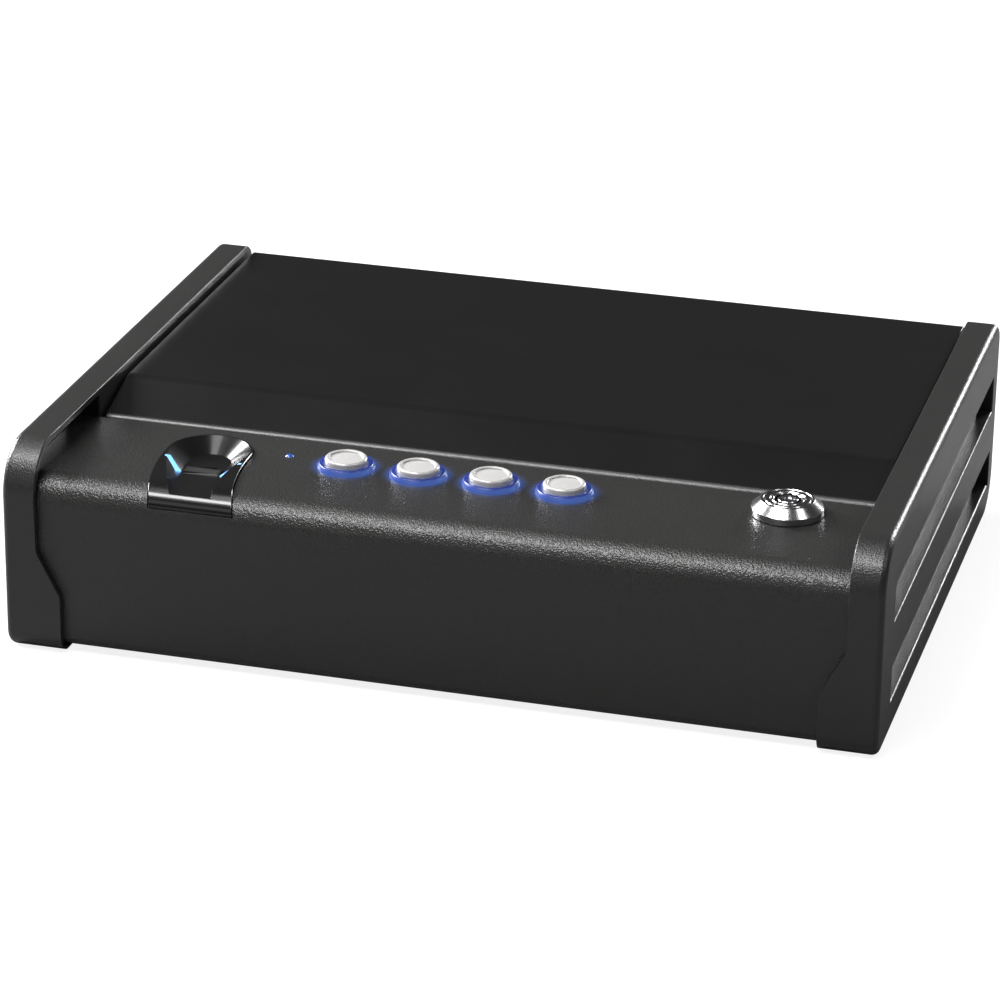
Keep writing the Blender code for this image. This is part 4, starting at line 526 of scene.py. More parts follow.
def build_brush() -> Effect:
    """Rolled or plated metal: long fine lines as a height, a shade and a roughness."""
    made = Effect("rolled_metal")
    made.take("Vector", "NodeSocketVector")
    made.take("Stretch", "NodeSocketVector", (30.0, 2600.0, 2600.0))
    made.take("Roughness", "NodeSocketFloat", 0.35)
    made.take("Spread", "NodeSocketFloat", 0.18)
    place = made.add("VectorMath", {"operation": "MULTIPLY"}, in_0=made.use("Vector"), in_1=made.use("Stretch"))
    lines = made.add("TexNoise", Vector=place.outputs[0], Scale=1.0, Detail=3.0, Roughness=0.6)
    cloud = made.add("TexNoise", Vector=made.use("Vector"), Scale=70.0, Detail=3.0)
    made.give("Height", "NodeSocketFloat", lines.outputs[0])
    mix = made.add("Math", {"operation": "MULTIPLY"}, in_0=lines.outputs[0], in_1=cloud.outputs[0])
    rough = made.add(
        "Math", {"operation": "MULTIPLY_ADD"}, in_0=mix.outputs[0], in_1=made.use("Spread"), in_2=made.use("Roughness")
    )
    made.give("Roughness", "NodeSocketFloat", rough.outputs[0])
    made.give("Shade", "NodeSocketFloat", ramp(made.tree, cloud.outputs[0], 0.3, 0.7, 0.86, 1.0))
    return made


def build_halo() -> Effect:
    """Light spilled on a surface round a vertical axis: a mask that fades with distance."""
    made = Effect("spilled_light")
    made.take("Vector", "NodeSocketVector")
    made.take("Centre", "NodeSocketVector")
    made.take("Inner", "NodeSocketFloat", 10 * MM)
    made.take("Reach", "NodeSocketFloat", 7 * MM)
    away = made.add("VectorMath", {"operation": "SUBTRACT"}, in_0=made.use("Vector"), in_1=made.use("Centre"))
    flat = made.add("VectorMath", {"operation": "MULTIPLY"}, in_0=away.outputs[0], in_1=(1.0, 1.0, 0.0))
    gap = made.add("VectorMath", {"operation": "LENGTH"}, in_0=flat.outputs[0])
    past = made.add("Math", {"operation": "SUBTRACT"}, in_0=gap.outputs["Value"], in_1=made.use("Inner"))
    share = made.add("Math", {"operation": "DIVIDE"}, in_0=past.outputs[0], in_1=made.use("Reach"))
    left = made.add("Math", {"operation": "SUBTRACT", "use_clamp": True}, in_0=1.0, in_1=share.outputs[0])
    soft = made.add("Math", {"operation": "POWER"}, in_0=left.outputs[0], in_1=2.6)
    made.give("Mask", "NodeSocketFloat", soft.outputs[0])
    return made


class Effects:
    """The shared node groups, each built once."""

    def __init__(self) -> None:
        """Build every group."""
        self.grain = build_grain()
        self.wear = build_wear()
        self.brush = build_brush()
        self.halo = build_halo()

    def place(self, effect: Effect, tree: bpy.types.NodeTree, **inputs: object) -> bpy.types.Node:
        """Put a group into a material with its own values."""
        node = tree.nodes.new("ShaderNodeGroup")
        node.node_tree = effect.tree
        for key, value in inputs.items():
            socket = node.inputs[key]
            if isinstance(value, bpy.types.NodeSocket):
                tree.links.new(value, socket)
            else:
                socket.default_value = value
        return node


@dataclass(frozen=True)
class Finish:
    """What all finishes share: a colour, a roughness and the shader's plain values."""

    name: str
    colour: Colour
    roughness: float = 0.4
    metallic: float = 0.0
    coat: float = 0.0
    specular: float = 0.5

    def start(self) -> tuple[bpy.types.Material, bpy.types.NodeTree, bpy.types.Node, bpy.types.NodeSocket]:
        """Make the material with its plain values.

        Returns:
            The material, its tree, its shader and the Object coordinates.
        """
        made = bpy.data.materials.new(self.name)
        made.use_nodes = True
        tree = made.node_tree
        shader = tree.nodes["Principled BSDF"]
        shader.inputs["Base Color"].default_value = (*self.colour, 1.0)
        shader.inputs["Roughness"].default_value = self.roughness
        shader.inputs["Metallic"].default_value = self.metallic
        shader.inputs["Coat Weight"].default_value = self.coat
        shader.inputs["Coat Roughness"].default_value = 0.05
        shader.inputs["Specular IOR Level"].default_value = self.specular
        coordinates = add_node(tree, "TexCoord").outputs["Object"]
        return made, tree, shader, coordinates

    def bump(
        self,
        tree: bpy.types.NodeTree,
        shader: bpy.types.Node,
        height: bpy.types.NodeSocket,
        depth: float,
        strength: float = 1.0,
    ) -> None:
        """Feed a height to the shader's normal."""
        node = add_node(tree, "Bump", Height=height, Distance=depth, Strength=strength)
        tree.links.new(node.outputs["Normal"], shader.inputs["Normal"])

    def tint(
        self, tree: bpy.types.NodeTree, shader: bpy.types.Node, shade_value: bpy.types.NodeSocket
    ) -> bpy.types.Node:
        """Feed the colour times a shade to the shader's base colour."""
        node = add_node(tree, "VectorMath", {"operation": "SCALE"}, in_0=self.colour, Scale=shade_value)
        tree.links.new(node.outputs[0], shader.inputs["Base Color"])
        return node


@dataclass(frozen=True)
class MouldedPlastic(Finish):
    """Plastic or paint with a moulded or sprayed texture, and optional painted light where nearby lights spill onto it.
    """

    grain: float = 900.0
    tooth: float = 0.35
    depth: float = 0.05 * MM
    # How much painted shade darkens the grain's hollows.
    painted_hollow_shade: float = 0.12
    marks: float = 0.08
    # Centres and radii of painted light: emission round each centre stands in for spilled light.
    painted_glow: tuple[Point, ...] = ()
    painted_glow_colour: Colour = (0.05, 0.2, 1.0)
    painted_glow_strength: float = 0.0

    def build(self, effects: Effects) -> bpy.types.Material:
        """Make the material."""
        made, tree, shader, place = self.start()
        grain = effects.place(
            effects.grain, tree, Vector=place, Size=self.grain, Tooth=self.tooth, Shade=self.painted_hollow_shade
        )
        marks = effects.place(effects.wear, tree, Vector=place, Roughness=self.roughness, Amount=self.marks)
        tree.links.new(marks.outputs["Roughness"], shader.inputs["Roughness"])
        # The grain's Shade output is painted shade in its hollows.
        self.tint(tree, shader, grain.outputs["Shade"])
        self.bump(tree, shader, grain.outputs["Height"], self.depth)
        # Painted light: the surface itself emits blue round each centre, in place of light spilled from the rings and
        # the status light.
        total = None
        for centre in self.painted_glow:
            x, y, reach = centre
            halo = effects.place(
                effects.halo, tree, Vector=place, Centre=(x, y, 0.0), Inner=reach, Reach=reach * 0.4
            )
            mask = halo.outputs["Mask"]
            if total is not None:
                mask = add_node(tree, "Math", {"operation": "MAXIMUM"}, in_0=total, in_1=mask).outputs[0]
            total = mask
        if total is not None:
            lit = add_node(tree, "VectorMath", {"operation": "SCALE"}, in_0=self.painted_glow_colour, Scale=total)
            tree.links.new(lit.outputs[0], shader.inputs["Emission Color"])
            shader.inputs["Emission Strength"].default_value = self.painted_glow_strength
        return made


@dataclass(frozen=True)
class PlatedMetal(Finish):
    """Plated or bare metal with rolled lines."""

    stretch: Point = (30.0, 2600.0, 2600.0)
    spread: float = 0.16
    depth: float = 0.004 * MM

    def build(self, effects: Effects) -> bpy.types.Material:
        """Make the material."""
        made, tree, shader, place = self.start()
        brush = effects.place(
            effects.brush, tree, Vector=place, Stretch=self.stretch, Roughness=self.roughness, Spread=self.spread
        )
        tree.links.new(brush.outputs["Roughness"], shader.inputs["Roughness"])
        self.tint(tree, shader, brush.outputs["Shade"])
        self.bump(tree, shader, brush.outputs["Height"], self.depth)
        return made


@dataclass(frozen=True)
class GlossPlastic(Finish):
    """Polished plastic, plain or lit from behind."""

    marks: float = 0.03
    light: Colour = (0.0, 0.0, 0.0)
    strength: float = 0.0
    lit_below: float = 0.0

    def build(self, effects: Effects) -> bpy.types.Material:
        """Make the material."""
        made, tree, shader, place = self.start()
        marks = effects.place(effects.wear, tree, Vector=place, Roughness=self.roughness, Amount=self.marks)
        tree.links.new(marks.outputs["Roughness"], shader.inputs["Roughness"])
        cloud = add_node(tree, "TexNoise", Vector=place, Scale=300.0, Detail=2.0)
        self.tint(tree, shader, ramp(tree, cloud.outputs[0], 0.2, 0.8, 0.93, 1.0))
        if self.strength > 0:
            level = ramp(tree, cloud.outputs[0], 0.2, 0.8, 0.85, 1.0)
            if self.lit_below > 0:
                split = add_node(tree, "SeparateXYZ", Vector=place)
                fall = ramp(tree, split.outputs["Z"], self.lit_below - 0.4 * MM, self.lit_below, 1.0, 0.2)
                level = add_node(tree, "Math", {"operation": "MULTIPLY"}, in_0=level, in_1=fall).outputs[0]
            lit = add_node(tree, "VectorMath", {"operation": "SCALE"}, in_0=self.light, Scale=level)
            tree.links.new(lit.outputs[0], shader.inputs["Emission Color"])
            shader.inputs["Emission Strength"].default_value = self.strength
        return made


@dataclass(frozen=True)
class Foam(Finish):
    """Closed-cell foam: open cut cells as small pits, with painted shade darkening them."""

    cell: float = 1500.0
    depth: float = 0.25 * MM

    def build(self, effects: Effects) -> bpy.types.Material:
        """Make the material."""
        made, tree, shader, place = self.start()
        cells = add_node(tree, "TexVoronoi", {"feature": "F1"}, Vector=place, Scale=self.cell)
        large = add_node(tree, "TexVoronoi", {"feature": "F1"}, Vector=place, Scale=self.cell * 0.37)
        pits = ramp(tree, cells.outputs["Distance"], 0.05, 0.5)
        holes = ramp(tree, large.outputs["Distance"], 0.08, 0.3)
        both = add_node(tree, "Math", {"operation": "MULTIPLY"}, in_0=pits, in_1=holes)
        # Painted shade: the colour is darker inside the pits.
        self.tint(tree, shader, ramp(tree, both.outputs[0], 0.0, 1.0, 0.45, 1.1))
        self.bump(tree, shader, both.outputs[0], self.depth)
        shader.inputs["Sheen Weight"].default_value = 0.25
        shader.inputs["Sheen Roughness"].default_value = 0.6
        return made


@dataclass(frozen=True)
class Pearl(Finish):
    """Pearl-painted plastic with fine flakes."""

    flake: float = 5200.0

    def build(self, effects: Effects) -> bpy.types.Material:
        """Make the material."""
        made, tree, shader, place = self.start()
        flakes = add_node(tree, "TexVoronoi", {"feature": "F1"}, Vector=place, Scale=self.flake)
        level = add_node(tree, "SeparateColor", in_0=flakes.outputs["Color"])
        self.tint(tree, shader, ramp(tree, level.outputs[0], 0.0, 1.0, 0.9, 1.05))
        marks = effects.place(effects.wear, tree, Vector=place, Roughness=self.roughness, Amount=0.05)
        tree.links.new(marks.outputs["Roughness"], shader.inputs["Roughness"])
        self.bump(tree, shader, level.outputs[1], 0.002 * MM)
        return made


# ---------------------------------------------------------------- the safe's common sizes


@dataclass(frozen=True)
class Body:
    """Sizes that several sub-assemblies share."""

    half_width: float = 155 * MM
    front: float = -117.5 * MM
    rear: float = 117.5 * MM
    height: float = 75.3 * MM
    cap_inner: float = 142.8 * MM
    strip_top: float = 64.5 * MM
    strip_rear: float = -53 * MM
    panel_front: float = -114.5 * MM
    gap: float = 0.3 * MM
    over: float = 4 * MM
    button_x: tuple[float, ...] = (-44.3 * MM, -18.1 * MM, 8.1 * MM, 34.3 * MM)
    button_y: float = -71.5 * MM
    lock_x: float = 111.6 * MM
    lock_y: float = -67.2 * MM
    led_x: float = -66.2 * MM
    led_y: float = -68 * MM


BODY = Body()


class Shop:
    """The finishes by name, and the way a finished piece joins the safe."""

    def __init__(self) -> None:
        """Build every finish."""
        effects = Effects()
        rings = tuple((x, BODY.button_y, 10.4 * MM) for x in BODY.button_x)
        # Painted light spilled onto the strip round each lit ring and the status light.
        painted_glow = (*rings, (BODY.led_x, BODY.led_y, 1.6 * MM))
        finishes = (
            MouldedPlastic("cap_plastic", (0.02, 0.02, 0.0195), 0.32, grain=1700.0, tooth=0.6, depth=0.045 * MM),
            MouldedPlastic(
                "grained_plastic", (0.021, 0.0207, 0.0201), 0.32, grain=1500.0, tooth=0.3, depth=0.08 * MM,
                painted_glow=painted_glow, painted_glow_colour=(0.035, 0.1, 0.4), painted_glow_strength=0.6,
            ),
            MouldedPlastic("lid_paint", (0.004, 0.004, 0.0039), 0.3, grain=2100.0, tooth=0.4, depth=0.012 * MM),
            MouldedPlastic("base_paint", (0.016, 0.016, 0.016), 0.5, grain=2100.0, tooth=0.5, depth=0.02 * MM),
            MouldedPlastic("black_plastic", (0.018, 0.018, 0.018), 0.45, grain=1800.0, depth=0.02 * MM),
            MouldedPlastic("board_green", (0.01, 0.09, 0.035), 0.4, grain=1200.0, depth=0.02 * MM),
            MouldedPlastic("cell_jacket", (0.22, 0.15, 0.05), 0.3, metallic=0.6, grain=1500.0, depth=0.005 * MM),
            Foam("foam", (0.035, 0.035, 0.038), 0.95),
            PlatedMetal("zinc_steel", (0.55, 0.56, 0.56), 0.3, 1.0),
            PlatedMetal("spring_steel", (0.38, 0.38, 0.39), 0.28, 1.0, stretch=(900.0, 900.0, 900.0)),
            PlatedMetal(
                "chrome", (0.5, 0.5, 0.51), 0.2, 1.0, stretch=(90.0, 90.0, 30.0), spread=0.05, depth=0.0002 * MM
            ),
            PlatedMetal("sensor_metal", (0.62, 0.62, 0.63), 0.16, 1.0, stretch=(2000.0, 300.0, 300.0), spread=0.08),
            GlossPlastic("gloss_black", (0.006, 0.006, 0.0065), 0.2, coat=0.12),
            GlossPlastic("sensor_glass", (0.02, 0.022, 0.026), 0.04, coat=0.8),
            GlossPlastic(
                "ring_lens", (0.01, 0.02, 0.16), 0.3, light=(0.05, 0.1, 0.28), strength=1.0, lit_below=66.1 * MM
            ),
            GlossPlastic("light_lens", (0.01, 0.04, 0.2), 0.3, light=(0.02, 0.09, 0.4), strength=0.5),
            GlossPlastic("guide_lens", (0.2, 0.45, 0.9), 0.2, light=(0.12, 0.42, 1.0), strength=1.3),
            Pearl("pearl_plastic", (0.5, 0.495, 0.49), 0.3, metallic=0.25, coat=0.3),
        )
        self.materials = {finish.name: finish.build(effects) for finish in finishes}
        self.slots = {
            "sensor_glass": "sensor_metal",
            "ring_lens": "blue_lens",
            "light_lens": "blue_lens",
            "guide_lens": "blue_lens",
        }
        self.pieces = 0

    def dress(self, piece: Piece, finish: str) -> None:
        """Give a mesh one finish all over."""
        piece.data.materials.clear()
        piece.data.materials.append(self.materials[finish])

    def fit(self, piece: Piece, body: str, finish: str, replaces: Sequence[str] = ()) -> Piece:
        """Finish a piece: its material, the body it rides on and the nodes it stands for.

        Args:
            piece: The finished mesh.
            body: The CAD body it moves with.
            finish: The name of its finish.
            replaces: CAD nodes that it stands for.

        Returns:
            The same piece.
        """
        self.dress(piece, finish)
        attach(piece, body)
        self.slots.get(finish, finish)
        if replaces:
            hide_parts(*replaces)
        self.pieces += 1
        LOG.info("%s rides on %s in %s", piece.name, body, finish)
        return piece

    def keep(self, finish: str, *nodes: str) -> None:
        """Show CAD nodes as they are, in a finish."""
        for node in nodes:
            self.dress(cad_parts[node], finish)
            LOG.info("%s is shown as it is in %s", node, finish)


# ---------------------------------------------------------------- outside


@dataclass
class EndCaps:
    """The two moulded end caps, mirror images of each other."""

    flange: float = 2.7 * MM
    skin: float = 4.4 * MM
    top_radius: float = 18 * MM
    foot_radius: float = 7 * MM
    rear_top_radius: float = 8 * MM
    rear_foot_radius: float = 16 * MM
    edge_radius: float = 2.6 * MM
    foot_reach: float = 8.5 * MM
    foot_low: float = 22 * MM
    foot_high: float = 38 * MM
    sole: float = 2 * MM
    groove_depth: float = 4.5 * MM
    groove_height: float = 13.5 * MM
    groove_lifts: tuple[float, ...] = (11.8 * MM, 41.8 * MM)
    groove_front: float = -95.5 * MM
    groove_rear: float = 107 * MM
    strip_recess_bottom: float = 55.5 * MM
    base_front: float = -97.7 * MM

    def shell(self) -> Piece:
        """The rounded side plate with its foot, before it is hollowed."""
        inner = BODY.cap_inner - self.foot_reach
        piece = add_block("cap_right_shell", (inner, BODY.front, 0), (BODY.half_width, BODY.rear, BODY.height))
        corners = (
            (BODY.front, BODY.height, self.top_radius, 20),
            (BODY.front, 0, self.foot_radius, 10),
            (BODY.rear, BODY.height, self.rear_top_radius, 12),
            (BODY.rear, 0, self.rear_foot_radius, 16),
        )
        for y, z, radius, segments in corners:
            round_edges(piece, radius, segments, along_x(y, z))
        return round_edges(piece, self.edge_radius, 6, on_plane(Axis.X, BODY.half_width))

    def room(self) -> list[Piece]:
        """The cutters that leave the flange, the sole and the stepped foot."""
        inner = BODY.cap_inner - self.foot_reach
        flange = BODY.front + self.flange
        beyond = inner - BODY.over
        top = BODY.height + BODY.over
        main = add_block("room", (beyond, flange, self.sole), (BODY.cap_inner, BODY.rear + BODY.over, top))
        slope = (self.foot_high - self.foot_low) / self.foot_reach
        low = self.foot_low - slope * BODY.over
        step = add_block(
            "step", (beyond, BODY.front - BODY.over, low), (BODY.cap_inner, BODY.rear + BODY.over, top)
        )
        with editing(step) as mesh:
            choose_edges(
                mesh,
                lambda a, b: near(a.z, low)
                and near(b.z, low)
                and near(a.x, BODY.cap_inner)
                and near(b.x, BODY.cap_inner),
            )
            bpy.ops.transform.translate(value=(0, 0, self.foot_high - low))
        return [main, step]

    def recess(self) -> list[Piece]:
        """The cutters for the pocket that takes the front housing's end."""
        flange = BODY.front + self.flange
        ceiling = BODY.height - self.flange
        near_x = BODY.cap_inner - BODY.over
        far_x = BODY.half_width - self.skin
        strip = add_block(
            "strip_end", (near_x, flange, self.strip_recess_bottom), (far_x, BODY.strip_rear + BODY.gap, ceiling)
        )
        round_edges(strip, self.top_radius - self.flange, 18, along_x(flange, ceiling))
        panel = add_block(
            "panel_end", (near_x, flange, self.sole), (far_x, self.base_front, self.strip_recess_bottom + BODY.over)
        )
        round_edges(panel, self.foot_radius - self.flange, 8, along_x(flange, self.sole))
        return [strip, panel]

    def grooves(self) -> list[Piece]:
        """The cutters for the two long grooves of the outer side."""
        made = []
        for lift in self.groove_lifts:
            cutter = add_block(
                "groove",
                (BODY.half_width - self.groove_depth, self.groove_front, lift),
                (BODY.half_width + BODY.over, self.groove_rear, lift + self.groove_height),
            )
            made.append(cutter)
        return made

    def groove_mouth(self, a: Vector, b: Vector) -> bool:
        """Whether an edge runs round the mouth of a groove."""
        inside = all(self.groove_front - BODY.gap < end.y < self.groove_rear + BODY.gap for end in (a, b))
        low = self.groove_lifts[0] - BODY.gap
        high = self.groove_lifts[-1] + self.groove_height + BODY.gap
        return on_plane(Axis.X, BODY.half_width)(a, b) and inside and all(low < end.z < high for end in (a, b))

    def rim_edge(self, a: Vector, b: Vector) -> bool:
        """Whether an edge runs along the rim's inner side, clear of the foot."""
        rear = all(end.y > 0 and end.z > self.sole + BODY.gap for end in (a, b))
        high = all(end.z > self.foot_high - BODY.gap for end in (a, b)) and a.z + b.z > 2 * self.foot_high + BODY.gap
        return on_plane(Axis.X, BODY.cap_inner)(a, b) and (rear or high)

    def foot_step(self, a: Vector, b: Vector) -> bool:
        """Whether an edge bounds the sloping step of the foot on its front."""
        front = all(near(end.y, BODY.front) for end in (a, b))
        return front and all(end.x < BODY.cap_inner + BODY.gap and end.z > self.foot_radius for end in (a, b))

    def build(self, shop: Shop) -> None:
        """Model the right cap, mirror it and fit both."""
        right = self.shell()
        for cutter in [*self.room(), *self.recess(), *self.grooves()]:
            carve(right, cutter)
        round_edges(right, 0.5 * MM, 3, self.rim_edge)
        round_edges(right, 0.6 * MM, 3, self.groove_mouth)
        round_edges(right, 0.5 * MM, 3, self.foot_step)
        left = mirrored(right, "cap_left_shell")
        for piece, node in ((right, "cap_right"), (left, "cap_left")):
            shop.fit(shade(piece), "base", "cap_plastic", [node])


@dataclass
class FrontHousing:
    """The moulding with the control strip on top and the panel in front."""

    half: float = 150.3 * MM
    bottom: float = 2.3 * MM
    skin: float = 2.5 * MM
    top_radius: float = 10 * MM
    foot_radius: float = 4 * MM
    lip_bottom: float = 59.3 * MM
    return_rear: float = -98 * MM
    ring_radius: float = 10.2 * MM
    lock_radius: float = 8 * MM
    led_radius: float = 1.5 * MM

    def plate(self) -> Piece:
        """The folded plate with its rounded front edges."""
        low = (-self.half, BODY.panel_front, self.bottom)
        piece = add_block("front_moulding", low, (self.half, BODY.strip_rear, BODY.strip_top))
        round_edges(piece, self.top_radius, 20, along_x(BODY.panel_front, BODY.strip_top))
        round_edges(piece, self.foot_radius, 10, along_x(BODY.panel_front, self.bottom))
        far = self.half + BODY.over
        inner_front = BODY.panel_front + self.skin
        inner_top = BODY.strip_top - self.skin
        inner_low = self.bottom + self.skin
        main = add_block("inside", (-far, inner_front, inner_low), (far, BODY.strip_rear - self.skin, inner_top))
        round_edges(main, self.top_radius - self.skin, 16, along_x(inner_front, inner_top))
        round_edges(main, self.foot_radius - self.skin, 6, along_x(inner_front, inner_low))
        carve(piece, main)
        rear = (far, BODY.strip_rear + BODY.over, self.lip_bottom)
        return carve(piece, add_block("behind", (-far, self.return_rear, self.bottom - BODY.over), rear))

    def build(self, shop: Shop, scoop: "Reader") -> None:
        """Model the moulding, cut its openings and fit it."""
        piece = self.plate()
        low = BODY.strip_top - self.skin - BODY.over
        length = self.skin + 2 * BODY.over
        carve(piece, scoop.outline_block("reader_hole", BODY.gap, scoop.bottom - BODY.gap, BODY.strip_top + BODY.over))
        for x in BODY.button_x:
            radius = self.ring_radius + BODY.gap
            carve(piece, add_round("button_hole", (x, BODY.button_y, low), (radius, radius), length))
        radius = self.lock_radius + BODY.gap
        carve(piece, add_round("lock_hole", (BODY.lock_x, BODY.lock_y, low), (radius, radius), length))
        radius = self.led_radius + BODY.gap
        carve(piece, add_round("led_hole", (BODY.led_x, BODY.led_y, low), (radius, radius), length, sides=32))
        shop.fit(shade(piece), "base", "grained_plastic", ["front_housing"])


@dataclass
class Lid:
    """The folded steel lid with its side skirts."""

    half: float = 141.3 * MM
    rear: float = 116 * MM
    crease: float = -28 * MM
    front: float = -52.3 * MM
    top: float = 72 * MM
    front_height: float = 64.7 * MM
    lip_bottom: float = 60 * MM
    fold_bottom: float = 61 * MM
    steel: float = 2 * MM
    fold_radius: float = 2.5 * MM
    crease_reach: float = 2.2 * MM
    skirt_x: float = 139.9 * MM
    skirt_steel: float = 1.5 * MM
    skirt_front: float = -24 * MM
    skirt_rear: float = 100 * MM
    skirt_drop: float = 8 * MM
    hinge_x: float = 90 * MM
    notch_half: float = 23.5 * MM
    notch_front: float = 113 * MM

    def sheet(self) -> Piece:
        """The folded sheet, from a block with its underside and ends taken off."""
        piece = add_block("lid_sheet", (-self.half, self.front, self.lip_bottom), (self.half, self.rear, self.top))
        with editing(piece) as mesh:
            bpy.ops.mesh.select_all(action="SELECT")
            bpy.ops.mesh.bisect(plane_co=(0, self.crease, 0), plane_no=(0, 1, 0))
        with editing(piece) as mesh:
            choose_faces(mesh, lambda middle, normal: normal.z < -0.5 or abs(normal.x) > 0.5)
            bpy.ops.mesh.delete(type="FACE")
        with editing(piece) as mesh:
            choose_edges(mesh, along_x(self.front, self.top))
            bpy.ops.transform.translate(value=(0, 0, self.front_height - self.top))
        with editing(piece) as mesh:
            choose_edges(mesh, along_x(self.rear, self.lip_bottom))
            bpy.ops.transform.translate(value=(0, 0, self.fold_bottom - self.lip_bottom))
        round_edges(piece, self.crease_reach, 8, along_x(self.crease, self.top))
        round_edges(piece, self.fold_radius, 6, along_x(self.front, self.front_height))
        round_edges(piece, self.fold_radius, 6, along_x(self.rear, self.top))
        step = piece.modifiers.new("Steel", "SOLIDIFY")
        step.thickness = self.steel
        step.offset = -1
        step.use_even_offset = True
        apply_step(piece, step)
        return round_edges(piece, 0.4 * MM, 3, self.outer_end)

    def depth(self, point: Vector) -> float:
        """How far a point lies inside the nearest outer face of the sheet."""
        rise = self.top - self.front_height
        run = self.crease - self.front
        slope = (rise * (point.y - self.front) - run * (point.z - self.front_height)) / math.hypot(rise, run)
        return min(self.top - point.z, self.rear - point.y, point.y - self.front, slope)

    def outer_end(self, a: Vector, b: Vector) -> bool:
        """Whether an edge runs along the end of the sheet on its outer side."""
        end = all(near(abs(point.x), self.half) for point in (a, b))
        return end and max(self.depth(a), self.depth(b)) < self.steel * 0.45

    def build(self, shop: Shop) -> None:
        """Model the lid and fit it."""
        piece = self.sheet()
        under = self.top - self.steel
        for side in Side:
            edges = sorted((side.value * self.skirt_x, side.value * (self.skirt_x - self.skirt_steel)))
            skirt = add_block(
                "skirt",
                (edges[0], self.skirt_front, under - self.skirt_drop),
                (edges[1], self.skirt_rear, under + self.steel / 2),
            )
            carve(piece, skirt, "UNION", "MANIFOLD")
            middle = side.value * self.hinge_x
            notch = add_block(
                "notch",
                (middle - self.notch_half, self.notch_front, self.fold_bottom - BODY.over),
                (middle + self.notch_half, self.rear + BODY.over, under),
            )
            carve(piece, notch, solver="MANIFOLD")
        shop.fit(shade(piece), "lid", "lid_paint", ["lid_panel"])


